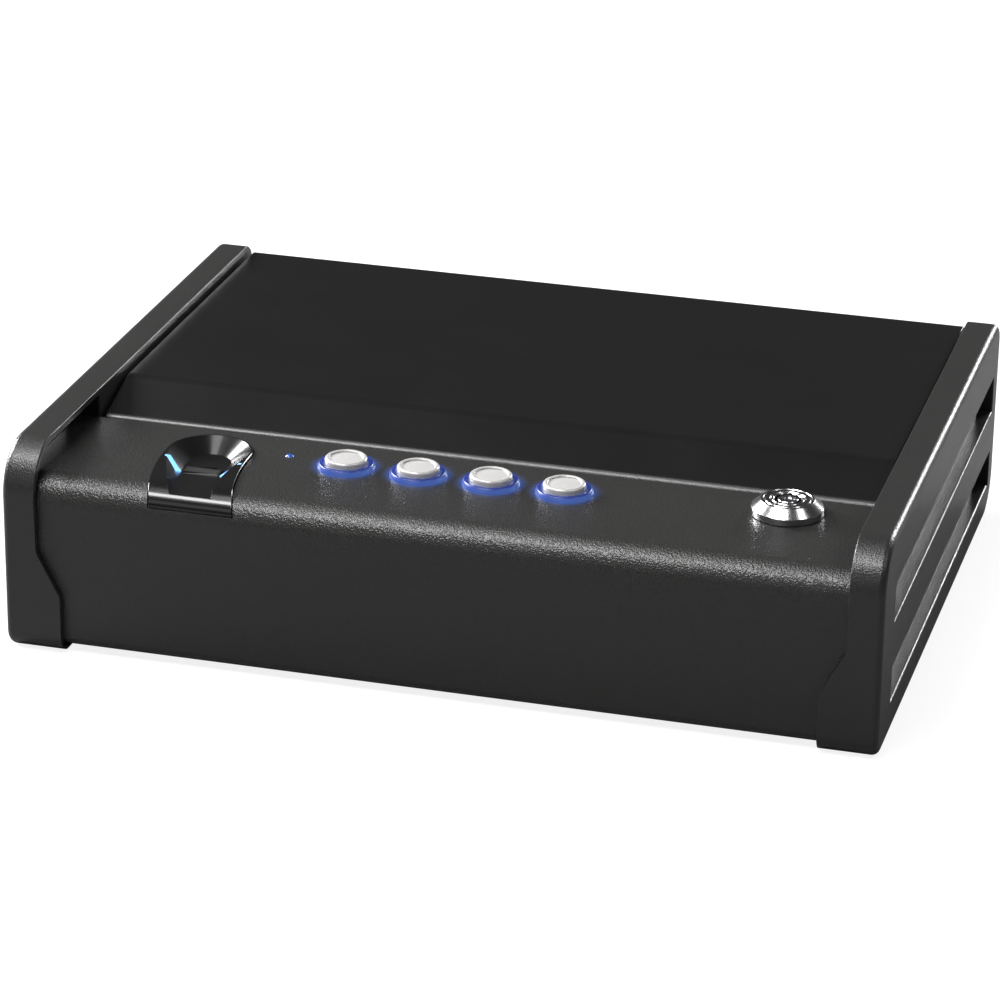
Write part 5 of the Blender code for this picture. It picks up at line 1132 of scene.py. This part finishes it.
@dataclass
class Reader:
    """The fingerprint reader: a glossy scoop with a sensor and two light guides."""

    x: float = -93.7 * MM
    y: float = -74.1 * MM
    half: float = 15.2 * MM
    lean: float = 6.8 * MM
    lean_length: float = 40.4 * MM
    top: float = 65.6 * MM
    front: float = -114 * MM
    front_radius: float = 10 * MM
    bottom: float = 58.7 * MM
    floor: float = 61 * MM
    floor_half: float = 7.6 * MM
    land: float = 0.8 * MM
    mouth_half: float = 8.3 * MM
    mouth_floor: float = 63.3 * MM
    mouth_y: float = -110.4 * MM
    sensor_y: float = -82.9 * MM
    sensor_half_width: float = 6.75 * MM
    sensor_half_depth: float = 2.7 * MM
    sensor_top: float = 61.3 * MM
    light_length: float = 8.6 * MM
    light_width: float = 2.6 * MM
    light_depth: float = 1.6 * MM
    light_y: float = -87.0 * MM
    light_aside: float = 1.3 * MM
    light_way: Point = (5.8, 5.0, 3.8)
    light_normal: Point = (1.0, 0.0, 1.2)

    def middle(self, y: float) -> float:
        """The scoop's middle at a depth."""
        share = min(1.1, max(0.0, (self.y - y) / self.lean_length))
        return self.x + self.lean * share * share

    def drawn_block(self, name: str, ends: tuple[float, float], steps: int, place: Callable[[Vector], Vector]) -> Piece:
        """A block cut into slices along Y whose points are then put in place by a rule.

        Args:
            name: The piece's name.
            ends: Where it starts and ends along Y.
            steps: How many slices it has.
            place: Takes a point of a block one unit wide and high to its place.

        Returns:
            The shaped block.
        """
        piece = add_block(name, (-1, ends[0], 0), (1, ends[1], 1))
        for index in range(1, steps):
            y = ends[0] + (ends[1] - ends[0]) * index / steps
            with editing(piece):
                bpy.ops.mesh.select_all(action="SELECT")
                bpy.ops.mesh.bisect(plane_co=(0, y, 0), plane_no=(0, 1, 0))
        with editing(piece) as mesh:
            for vert in mesh.verts:
                vert.co = place(vert.co.copy())
        return piece

    def outline_block(self, name: str, margin: float, low: float, high: float) -> Piece:
        """The reader's outline from above as a block, grown by a margin."""
        half = self.half + margin
        front = self.front - 2 * BODY.over

        def place(point: Vector) -> Vector:
            """Put a point of the straight part on the leaning outline."""
            return Vector((self.middle(point.y) + point.x * half, point.y, low + (high - low) * point.z))

        piece = self.drawn_block(name, (front, self.y), 16, place)
        round_end = add_round(name + "_end", (self.x, self.y, low), (half, half), high - low, sides=128)
        return carve(piece, round_end, "UNION")

    def hollow(self) -> Piece:
        """The cutter for the bowl and its finger trough: one outline drawn at the floor and above the rim."""
        turn, side = 48, 28
        top = self.top + BODY.over
        rim = self.half - self.land
        start = self.sensor_y - self.sensor_half_depth
        front = self.front - BODY.over
        outline = [(0.0, math.pi * index / turn) for index in range(turn + 1)]
        outline += [(index / side, math.pi) for index in range(1, side + 1)]
        outline += [(index / side, 0.0) for index in range(side, 0, -1)]
        height = top - self.floor
        piece = add_round("hollow", (0, 0, self.floor), (1, 1), height, sides=len(outline))

        def place(share: float, angle: float, upper: bool) -> Vector:
            """Put a point of the outline on the floor or above the rim.

            Args:
                share: How far forward it lies, from 0 at the bowl's middle to 1 past the mouth.
                angle: Its direction from the bowl's middle.
                upper: Whether it belongs to the upper outline.
            """
            y = self.y + (front - self.y) * share
            way = (self.y - y) / (self.y - self.mouth_y)
            climb = max(0.0, (start - y) / (start - self.mouth_y))
            floor = self.floor + (self.mouth_floor - self.floor) * climb
            flare = rim + (self.mouth_half - rim) * way - self.floor_half
            spread = max(0.0, flare) / (self.top - self.floor) * (top - floor)
            wide = self.floor_half + (spread if upper else 0.0)
            x = self.middle(y) + wide * math.cos(angle)
            return Vector((x, y + wide * math.sin(angle), top if upper else floor))

        with editing(piece) as mesh:
            rings = [sorted((v for v in mesh.verts if (v.co.z > self.floor + height / 2) == upper), key=heading)
                     for upper in (False, True)]
            for upper, ring in zip((False, True), rings):
                for vert, (share, angle) in zip(ring, outline):
                    vert.co = place(share, angle, upper)
            bpy.ops.mesh.select_all(action="SELECT")
            bpy.ops.mesh.normals_make_consistent(inside=False)
        return piece

    def guide(self, name: str, side: Side, margin: float) -> Piece:
        """A light guide on the bowl's side, grown by a margin on every side."""
        run, back, rise = self.light_way
        along = Vector((side.value * run, back, rise)).normalized()
        inward, level, upward = self.light_normal
        normal = Vector((-side.value * inward, level, upward))
        normal = (normal - along * normal.dot(along)).normalized()
        across = normal.cross(along)
        aside = side.value * (self.sensor_half_width + self.light_aside)
        start = Vector((self.middle(self.light_y) + aside, self.light_y, self.floor))
        middle = start + along * self.light_length / 2 + normal * self.light_depth / 8
        half = [length / 2 + margin for length in (self.light_length, self.light_width, self.light_depth)]
        above = BODY.over if margin > 0 else 0.0
        piece = add_block(name, tuple(-value for value in half), (half[0], half[1], half[2] + above))
        turn = Matrix((along, across, normal)).transposed().to_4x4()
        piece.matrix_world = Matrix.Translation(middle) @ turn
        return settle(piece, name)

    def bezel(self) -> Piece:
        """The scoop itself."""
        piece = self.outline_block("reader_scoop", 0, self.bottom - BODY.over, self.top + BODY.over)
        wide = self.half + self.lean + BODY.over
        block = add_block(
            "reader_side", (self.x - wide, self.front, self.bottom), (self.x + wide, self.y + wide, self.top)
        )
        round_edges(block, self.front_radius - 0.01 * MM, 24, along_x(self.front, self.top))
        carve(piece, block, "INTERSECT")
        soften(piece, 0.3 * MM, 3, 40)
        carve(piece, self.hollow())
        self.round_rim(piece)
        x = self.middle(self.sensor_y)
        wide = self.sensor_half_width + BODY.gap
        deep = self.sensor_half_depth + BODY.gap
        low = (x - wide, self.sensor_y - deep, self.bottom - BODY.over)
        carve(
            piece,
            add_block("window", low, (x + wide, self.sensor_y + deep, self.floor + 1.5 * MM)),
            solver="MANIFOLD",
        )
        for side in Side:
            carve(piece, self.guide("guide_slot", side, 0.1 * MM), solver="MANIFOLD")
        return piece

    def round_rim(self, piece: Piece) -> None:
        """Round the edge where the hollow comes out through the top and the front."""
        with editing(piece) as mesh:
            bpy.ops.mesh.select_mode(type="EDGE")
            for edge in mesh.edges:
                ends = [vert.co for vert in edge.verts]
                inside = all(abs(end.x - self.middle(end.y)) < self.half - 0.4 * MM for end in ends)
                behind = all((end - Vector((self.x, self.y, end.z))).length < self.half - 0.4 * MM for end in ends)
                high = all(end.z > self.mouth_floor - 1 * MM for end in ends)
                sharp = len(edge.link_faces) == 2 and edge.calc_face_angle(0) > math.radians(25)
                straight = max(end.y for end in ends) < self.y
                edge.select_set(sharp and high and (behind or (inside and straight)))
            bpy.ops.mesh.bevel(offset=0.25 * MM, segments=3, affect="EDGES", clamp_overlap=True)

    def build(self, shop: Shop) -> None:
        """Model the scoop, the sensor window, its frame and the light guides."""
        shop.fit(shade(self.bezel(), 28), "base", "gloss_black", ["reader_bezel"])
        for side in Side:
            name = "light_guide_" + side.word
            guide = soften(self.guide(name, side, 0), 0.35 * MM, 3)
            shop.fit(shade(guide), "base", "guide_lens", ["reader_light_" + side.word])
        x = self.middle(self.sensor_y)
        wide, deep = self.sensor_half_width, self.sensor_half_depth
        frame_piece = add_block(
            "sensor_frame",
            (x - wide, self.sensor_y - deep, self.floor - 2 * MM),
            (x + wide, self.sensor_y + deep, self.sensor_top),
        )
        with editing(frame_piece) as mesh:
            choose_faces(mesh, lambda middle, normal: normal.z > 0.5)
            bpy.ops.mesh.inset(thickness=0.75 * MM, depth=0)
            bpy.ops.mesh.extrude_region_move(TRANSFORM_OT_translate={"value": (0, 0, -0.35 * MM)})
        soften(frame_piece, 0.12 * MM, 2)
        shop.fit(shade(frame_piece), "base", "sensor_metal")
        glass = add_block(
            "sensor_glass",
            (x - wide + 0.8 * MM, self.sensor_y - deep + 0.8 * MM, self.sensor_top - 0.34 * MM),
            (x + wide - 0.8 * MM, self.sensor_y + deep - 0.8 * MM, self.sensor_top - 0.15 * MM),
        )
        soften(glass, 0.05 * MM, 2)
        shop.fit(shade(glass), "base", "sensor_glass")
        shop.keep("black_plastic", "reader_sensor")


@dataclass
class ButtonRow:
    """Four push buttons in lit rings, their switches, board and the status light."""

    radius: float = 7.5 * MM
    rim_top: float = 68.2 * MM
    rim_width: float = 1.6 * MM
    dish: float = 0.7 * MM
    base: float = 59.8 * MM
    skirt_radius: float = 8.8 * MM
    skirt: float = 1 * MM
    stem_radius: float = 2.5 * MM
    stem: float = 0.5 * MM
    ring_radius: float = 10.2 * MM
    ring_top_radius: float = 9.6 * MM
    ring_top: float = 66.2 * MM
    ring_shoulder: float = 64.8 * MM
    ring_seat: float = 61.7 * MM
    ring_flange: float = 11.2 * MM
    ring_bottom: float = 60.2 * MM
    lens_radius: float = 1.5 * MM
    lens_flange: float = 2.4 * MM

    def cap_profile(self) -> list[tuple[float, float]]:
        """Radius and height of the button's rings, from the middle of its face down to its stem."""
        face = self.rim_top - self.dish
        dish_edge = self.radius - self.rim_width
        crest = (dish_edge + self.radius - self.rim_width * 0.25) / 2
        half_rim = self.radius - crest
        points = [(0, face + 0.25 * MM)]
        for index in range(1, 7):
            share = index / 7
            points.append((dish_edge * share, face + 0.25 * MM * (1 - share * share)))
        points.append((dish_edge, face))
        points += arc((crest, self.rim_top - half_rim), half_rim, 135, 0, 10)
        skirt_bottom = self.base - self.skirt
        points += [
            (self.radius, self.base),
            (self.skirt_radius, self.base),
            (self.skirt_radius, skirt_bottom),
            (self.stem_radius, skirt_bottom),
            (self.stem_radius, skirt_bottom - self.stem),
            (0, skirt_bottom - self.stem),
        ]
        return points

    def ring_profile(self) -> list[tuple[float, float]]:
        """Radius and height of the lit ring's rings, closed on itself."""
        inner = self.radius + BODY.gap
        edge = 0.5 * MM
        points = [(inner, self.ring_bottom), (inner, self.ring_top - edge)]
        points += arc((inner + edge, self.ring_top - edge), edge, 180, 90, 4)[1:]
        points += arc((self.ring_top_radius - edge, self.ring_top - edge), edge, 90, 20, 4)
        points += [
            (self.ring_radius, self.ring_shoulder),
            (self.ring_radius, self.ring_seat),
            (self.ring_flange, self.ring_seat),
            (self.ring_flange, self.ring_bottom),
            (inner, self.ring_bottom),
        ]
        return points

    def build(self, shop: Shop) -> None:
        """Model one button and ring, copy them along the strip and fit all."""
        for index, x in enumerate(BODY.button_x):
            number = str(index + 1)
            centre = (x, BODY.button_y, 0)
            cap = turn_profile("button_cap_" + number, centre, self.cap_profile())
            shop.fit(shade(cap, 40, False), "button_cap_" + number, "pearl_plastic", ["button_" + number])
            ring = turn_profile("lit_ring_" + number, centre, self.ring_profile())
            shop.fit(shade(ring, 40, False), "base", "ring_lens", ["button_ring_" + number])
            shop.keep("black_plastic", "button_switch_" + number)
        shop.keep("board_green", "circuit_board")
        lens = [(0, BODY.strip_top + 0.6 * MM)]
        lens += arc((0, BODY.strip_top - 1.1 * MM), 1.7 * MM, 80, 50, 5)
        lens += [
            (self.lens_radius, BODY.strip_top - 0.2 * MM),
            (self.lens_radius, self.ring_seat),
            (self.lens_flange, self.ring_seat),
            (self.lens_flange, self.ring_bottom),
            (0, self.ring_bottom),
        ]
        light = turn_profile("status_lens", (BODY.led_x, BODY.led_y, 0), lens, 40)
        shop.fit(shade(light, 40, False), "base", "light_lens", ["status_light"])


@dataclass
class KeyLock:
    """The tubular key lock."""

    top: float = 69.9 * MM
    seat: float = 64.8 * MM
    bezel_radius: float = 12.5 * MM
    bezel_top_radius: float = 9.5 * MM
    bezel_step: float = 2.5 * MM
    barrel_radius: float = 8 * MM
    barrel_bottom: float = 47.3 * MM
    plug_radius: float = 5.6 * MM
    keyway_outer: float = 4.7 * MM
    keyway_inner: float = 3.5 * MM
    keyway_depth: float = 7 * MM
    notch: float = 1.4 * MM
    shaft_radius: float = 2 * MM
    shaft_bottom: float = 43.3 * MM

    def build(self, shop: Shop) -> None:
        """Model the bezel, the barrel and the plug."""
        centre = (BODY.lock_x, BODY.lock_y, 0)
        bore = self.barrel_radius + BODY.gap
        edge = 0.5 * MM
        outer = arc((self.bezel_top_radius - edge, self.top - edge), edge, 90, 30, 6)
        lower = arc((self.bezel_radius - edge, self.seat + self.bezel_step - edge), edge, 40, 0, 5)
        profile = [(bore, self.seat), (bore, self.top - 0.2 * MM), (bore + 0.2 * MM, self.top), *outer, *lower]
        profile += [(self.bezel_radius, self.seat), (bore, self.seat)]
        bezel = turn_profile("lock_surround", centre, profile, 128)
        shop.fit(shade(bezel, 40, False), "base", "chrome", ["lock_bezel"])
        inner = self.plug_radius + BODY.gap
        profile = [(inner, self.barrel_bottom), (inner, self.top - 0.3 * MM), (inner + 0.3 * MM, self.top)]
        profile += [(self.barrel_radius - 0.3 * MM, self.top), (self.barrel_radius, self.top - 0.3 * MM)]
        profile += [(self.barrel_radius, self.barrel_bottom), (inner, self.barrel_bottom)]
        barrel = turn_profile("lock_housing", centre, profile, 128)
        shop.fit(shade(barrel, 40, False), "base", "chrome", ["lock_barrel"])
        plug = self.plug(centre)
        shop.fit(shade(plug, 40, False), "key_drive", "chrome", ["lock_plug"])
        shop.keep("zinc_steel", "lock_nut", "lock_cam")

    def plug(self, centre: Point) -> Piece:
        """The plug with its round keyway, its centre post and its notch."""
        floor = self.top - self.keyway_depth
        fine = 0.25 * MM
        profile = [
            (0, self.top - 0.5 * MM),
            (self.keyway_inner - 1.2 * MM, self.top - 0.5 * MM),
            (self.keyway_inner - 1.0 * MM, self.top),
            (self.keyway_inner - fine, self.top),
            (self.keyway_inner, self.top - fine),
            (self.keyway_inner, floor),
            (self.keyway_outer, floor),
            (self.keyway_outer, self.top - fine),
            (self.keyway_outer + fine, self.top),
            (self.plug_radius - fine, self.top),
            (self.plug_radius, self.top - fine),
            (self.plug_radius, self.barrel_bottom),
            (self.shaft_radius, self.barrel_bottom),
            (self.shaft_radius, self.shaft_bottom),
            (0, self.shaft_bottom),
        ]
        piece = turn_profile("lock_core", centre, profile, 96)
        notch = add_block(
            "notch",
            (
                BODY.lock_x - self.notch / 2,
                BODY.lock_y + self.keyway_inner + 0.1 * MM,
                self.top - self.keyway_depth / 2,
            ),
            (BODY.lock_x + self.notch / 2, BODY.lock_y + self.plug_radius + BODY.over, self.top + BODY.over),
        )
        return carve(piece, notch)


# ---------------------------------------------------------------- inside


@dataclass
class FoamLining:
    """The foam pads on the floor and under the lid."""

    floor_low: Point = (-139.9 * MM, -35 * MM, 4.6 * MM)
    floor_high: Point = (139.9 * MM, 105 * MM, 9.6 * MM)
    lid_low: Point = (-130 * MM, -22 * MM, 60.7 * MM)
    lid_high: Point = (130 * MM, 82 * MM, 69.7 * MM)

    def pad(self, name: str, low: Point, high: Point, top: float) -> Piece:
        """A soft pad with rounded cut edges and a surface that is not quite flat.

        Args:
            name: The piece's name.
            low: Its lowest corner.
            high: Its highest corner.
            top: 1 if its free face is up, -1 if it is down.

        Returns:
            The pad.
        """
        piece = add_block(name, low, high)
        free = high[2] if top > 0 else low[2]
        round_edges(piece, 5 * MM, 6, lambda a, b: near(a.x, b.x) and near(a.y, b.y))
        round_edges(piece, 1.6 * MM, 4, on_plane(Axis.Z, free))
        with editing(piece) as mesh:
            choose_faces(mesh, lambda middle, normal: normal.z * top > 0.9)
            bpy.ops.mesh.inset(thickness=2.5 * MM, depth=0)
            bpy.ops.mesh.quads_convert_to_tris()
            bpy.ops.mesh.subdivide(number_cuts=5)
        with editing(piece) as mesh:
            for vert in mesh.verts:
                if near(vert.co.z, free):
                    wave = math.sin(vert.co.x * 61) * math.sin(vert.co.y * 83 + 1.3)
                    vert.co.z -= top * 0.35 * MM * (1 + wave)
        return shade(piece, 50, False)

    def build(self, shop: Shop) -> None:
        floor = self.pad("floor_pad", self.floor_low, self.floor_high, 1)
        shop.fit(floor, "base", "foam", ["floor_foam"])
        lid = self.pad("lid_pad", self.lid_low, self.lid_high, -1)
        shop.fit(lid, "lid", "foam", ["lid_foam"])


@dataclass
class SteelTray:
    """The steel base, shown with its rounded folds."""

    half: float = 142.5 * MM
    front: float = -97.7 * MM
    rear: float = 114.5 * MM
    bottom: float = 2.3 * MM
    steel: float = 2 * MM
    foot_radius: float = 10 * MM
    top: float = 69.4 * MM
    rear_top: float = 59.7 * MM
    rear_cut: float = 106.5 * MM
    lip_step: float = -49.7 * MM
    lip_top: float = 59 * MM
    crease: float = -28 * MM
    slope_drop: float = 6.5 * MM

    def build(self, shop: Shop) -> None:
        """Model the tray and fit it."""
        piece = add_block("steel_tray", (-self.half, self.front, self.bottom), (self.half, self.rear, self.top))
        round_edges(piece, self.foot_radius, 10, along_x(self.rear, self.bottom))
        inside = add_block(
            "inside",
            (self.steel - self.half, self.front - BODY.over, self.bottom + self.steel),
            (self.half - self.steel, self.rear - self.steel, self.top + BODY.over),
        )
        round_edges(inside, self.foot_radius - self.steel, 8, along_x(self.rear - self.steel, self.bottom + self.steel))
        carve(piece, inside)
        far = self.half + BODY.over
        high = self.top + BODY.over
        carve(piece, add_block("lip", (-far, self.front - BODY.over, self.lip_top), (far, self.lip_step, high)))
        carve(piece, add_block("rear_lip", (-far, self.rear_cut, self.rear_top), (far, self.rear + BODY.over, high)))
        wedge = add_block("slope", (-far, self.lip_step - BODY.over, self.top), (far, self.crease, high))
        with editing(wedge) as mesh:
            choose_edges(mesh, along_x(self.lip_step - BODY.over, self.top))
            bpy.ops.transform.translate(
                value=(0, 0, -self.slope_drop * (1 + BODY.over / (self.crease - self.lip_step)))
            )
        carve(piece, wedge)
        soften(piece, 0.35 * MM, 2)
        shop.fit(shade(piece), "base", "base_paint", ["base_shell"])


@dataclass
class Hinges:
    """The two lid hinges with their torsion springs and rivets."""

    spacing: float = 180 * MM
    y: float = 113 * MM
    z: float = 66.4 * MM
    rivet_radius: float = 2.2 * MM
    rivet_height: float = 0.9 * MM
    rivet_spread: float = 14 * MM

    def rivet(self, name: str, place: Point, turn: Point) -> Piece:
        """A domed rivet head that stands on a face."""
        profile = [(0, self.rivet_height)]
        profile += [
            (self.rivet_radius * math.sin(a * 0.26), self.rivet_height * math.cos(a * 0.26)) for a in range(1, 6)
        ]
        profile += [(self.rivet_radius, 0), (0, 0)]
        piece = turn_profile(name, (0, 0, 0), profile, 24)
        piece.rotation_euler = turn
        piece.location = place
        return shade(settle(piece, name), 50, False)

    def build(self, shop: Shop) -> None:
        """Fit the hinge leaves, pins, springs and rivets."""
        for side in Side:
            x = side.value * self.spacing / 2
            word = side.word
            shop.keep("zinc_steel", "hinge_base_" + word, "hinge_lid_" + word, "hinge_pin_" + word)
            shop.keep("spring_steel", "hinge_spring_" + word)
            low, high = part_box("hinge_base_" + word)
            for index in (-1, 1):
                place = (x + index * self.rivet_spread, low.y, low.z + 10 * MM)
                shop.fit(
                    self.rivet(f"leaf_rivet_{word}_{index + 2}", place, (math.radians(90), 0, 0)), "base", "zinc_steel"
                )
                tail = (x + index * self.rivet_spread, 114.5 * MM, low.z + 10 * MM)
                shop.fit(
                    self.rivet(f"wall_rivet_{word}_{index + 2}", tail, (math.radians(-90), 0, 0)), "base", "base_paint"
                )
            low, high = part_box("hinge_lid_" + word)
            for index in (-1, 1):
                place = (x + index * self.rivet_spread, low.y + 9 * MM, high.z - 1.8 * MM)
                shop.fit(
                    self.rivet(f"lid_rivet_{word}_{index + 2}", place, (math.radians(180), 0, 0)), "lid", "zinc_steel"
                )


@dataclass
class Works:
    """The latch, the motor, the battery bay and the inner wall, shown as they were engineered."""

    metal: tuple[str, ...] = (
        "latch_bar",
        "latch_bolt_left",
        "latch_bolt_right",
        "motor_cam",
        "striker_left",
        "striker_right",
    )
    black: tuple[str, ...] = ("latch_guide_left", "latch_guide_right", "latch_motor", "battery_box", "battery_door")
    cells: tuple[str, ...] = field(default_factory=lambda: tuple(f"battery_cell_{n}" for n in range(1, 5)))

    def build(self, shop: Shop) -> None:
        """Dress the works in their finishes."""
        shop.keep("zinc_steel", *self.metal)
        shop.keep("spring_steel", "latch_spring")
        shop.keep("black_plastic", *self.black)
        shop.keep("base_paint", "bulkhead")
        shop.keep("cell_jacket", *self.cells)


# ---------------------------------------------------------------- studio


@dataclass
class Studio:
    """The floor, the lamps, the sky and the camera."""

    azimuth: float = 15.25
    elevation: float = 22.57
    roll: float = 0.786
    distance: float = 1.4833
    aim: Point = (-7.8 * MM, -10.4 * MM, 40 * MM)
    lens: float = 146.77
    floor_grey: float = 0.2
    floor_lift: float = 0.85
    room: float = 0.06
    lamps: tuple[tuple[str, Point, tuple[float, float], float], ...] = (
        ("softbox_overhead", (-0.52, -0.80, 1.85), (1.6, 0.4), 44),
        ("softbox_above", (-0.46, -0.02, 2.0), (0.9, 0.5), 6),
        ("softbox_left", (-1.75, 0.60, 0.95), (0.9, 0.9), 110),
        ("softbox_right", (1.30, -0.36, 1.50), (0.5, 0.5), 5),
        ("softbox_behind_right", (0.78, 1.85, 0.62), (0.45, 0.45), 22),
        ("fill_front", (-0.6, -2.4, 1.2), (1.6, 0.9), 4),
    )

    def camera(self) -> None:
        """Put the camera at the photograph's angle."""
        turn, rise, roll = (math.radians(v) for v in (self.azimuth, self.elevation, self.roll))
        back = Vector((math.sin(turn) * math.cos(rise), -math.cos(turn) * math.cos(rise), math.sin(rise)))
        right = Vector((math.cos(turn), math.sin(turn), 0))
        up = back.cross(right)
        target = Vector((0, 0, self.aim[2])) + right * self.aim[0] + up * self.aim[1]
        rolled_right = right * math.cos(roll) + up * math.sin(roll)
        rolled_up = up * math.cos(roll) - right * math.sin(roll)
        data = bpy.data.cameras.new("camera")
        data.lens = self.lens
        data.sensor_width = 36
        data.clip_start = 0.05
        data.clip_end = 40
        item = bpy.data.objects.new("camera", data)
        bpy.context.scene.collection.objects.link(item)
        place = Matrix((rolled_right, rolled_up, back)).transposed().to_4x4()
        item.matrix_world = Matrix.Translation(target + back * self.distance) @ place
        bpy.context.scene.camera = item

    def lamp(self, name: str, place: Point, target: Point, size: tuple[float, float], watts: float) -> None:
        """A rectangular soft lamp that faces a point."""
        data = bpy.data.lights.new(name, "AREA")
        data.shape = "RECTANGLE"
        data.size, data.size_y = size
        data.energy = watts
        item = bpy.data.objects.new(name, data)
        bpy.context.scene.collection.objects.link(item)
        item.location = place
        item.rotation_mode = "QUATERNION"
        item.rotation_quaternion = (Vector(target) - Vector(place)).to_track_quat("-Z", "Y")

    def sky(self) -> None:
        """A dim room light that shows full white to the camera only."""
        world = bpy.data.worlds.new("room")
        world.use_nodes = True
        bpy.context.scene.world = world
        tree = world.node_tree
        light = tree.nodes["Background"]
        light.inputs["Color"].default_value = (1, 1, 1, 1)
        light.inputs["Strength"].default_value = self.room
        seen = add_node(tree, "Background", Color=(1, 1, 1, 1), Strength=1.0)
        path = add_node(tree, "LightPath")
        mix = add_node(
            tree,
            "MixShader",
            in_0=path.outputs["Is Camera Ray"],
            in_1=light.outputs[0],
            in_2=seen.outputs[0],
        )
        tree.links.new(mix.outputs[0], tree.nodes["World Output"].inputs["Surface"])

    def floor(self) -> None:
        """A wide pale floor that turns white where the camera sees it unshaded."""
        start_fresh()
        bpy.ops.mesh.primitive_plane_add(size=12, location=(0, 0, 0))
        piece = settle(bpy.context.object, "floor")
        made = bpy.data.materials.new("floor_white")
        made.use_nodes = True
        shader = made.node_tree.nodes["Principled BSDF"]
        shader.inputs["Base Color"].default_value = (self.floor_grey,) * 3 + (1,)
        shader.inputs["Roughness"].default_value = 0.9
        shader.inputs["Emission Color"].default_value = (1, 1, 1, 1)
        path = add_node(made.node_tree, "LightPath")
        lift = add_node(
            made.node_tree, "Math", {"operation": "MULTIPLY"}, in_0=path.outputs["Is Camera Ray"], in_1=self.floor_lift
        )
        made.node_tree.links.new(lift.outputs[0], shader.inputs["Emission Strength"])
        piece.data.materials.append(made)

    def build(self) -> None:
        """Set up the whole studio."""
        bpy.context.scene.view_settings.view_transform = "Standard"
        self.camera()
        self.sky()
        self.floor()
        for name, place, size, watts in self.lamps:
            self.lamp(name, place, (0, 0, 0.03), size, watts)
        LOG.info("studio and camera are in place")


def record_sizes() -> None:
    """Bring the scene's transforms up to date; nothing is written."""
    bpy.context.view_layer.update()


def main() -> None:
    """Build the dressed safe, piece by piece."""
    logging.basicConfig(level=logging.INFO, format="%(name)s: %(message)s")
    shop = Shop()
    reader = Reader()
    EndCaps().build(shop)
    FrontHousing().build(shop, reader)
    Lid().build(shop)
    reader.build(shop)
    ButtonRow().build(shop)
    KeyLock().build(shop)
    FoamLining().build(shop)
    SteelTray().build(shop)
    Hinges().build(shop)
    Works().build(shop)
    Studio().build()
    record_sizes()
    LOG.info("%d pieces fitted", shop.pieces)


if __name__ == "__main__":
    main()
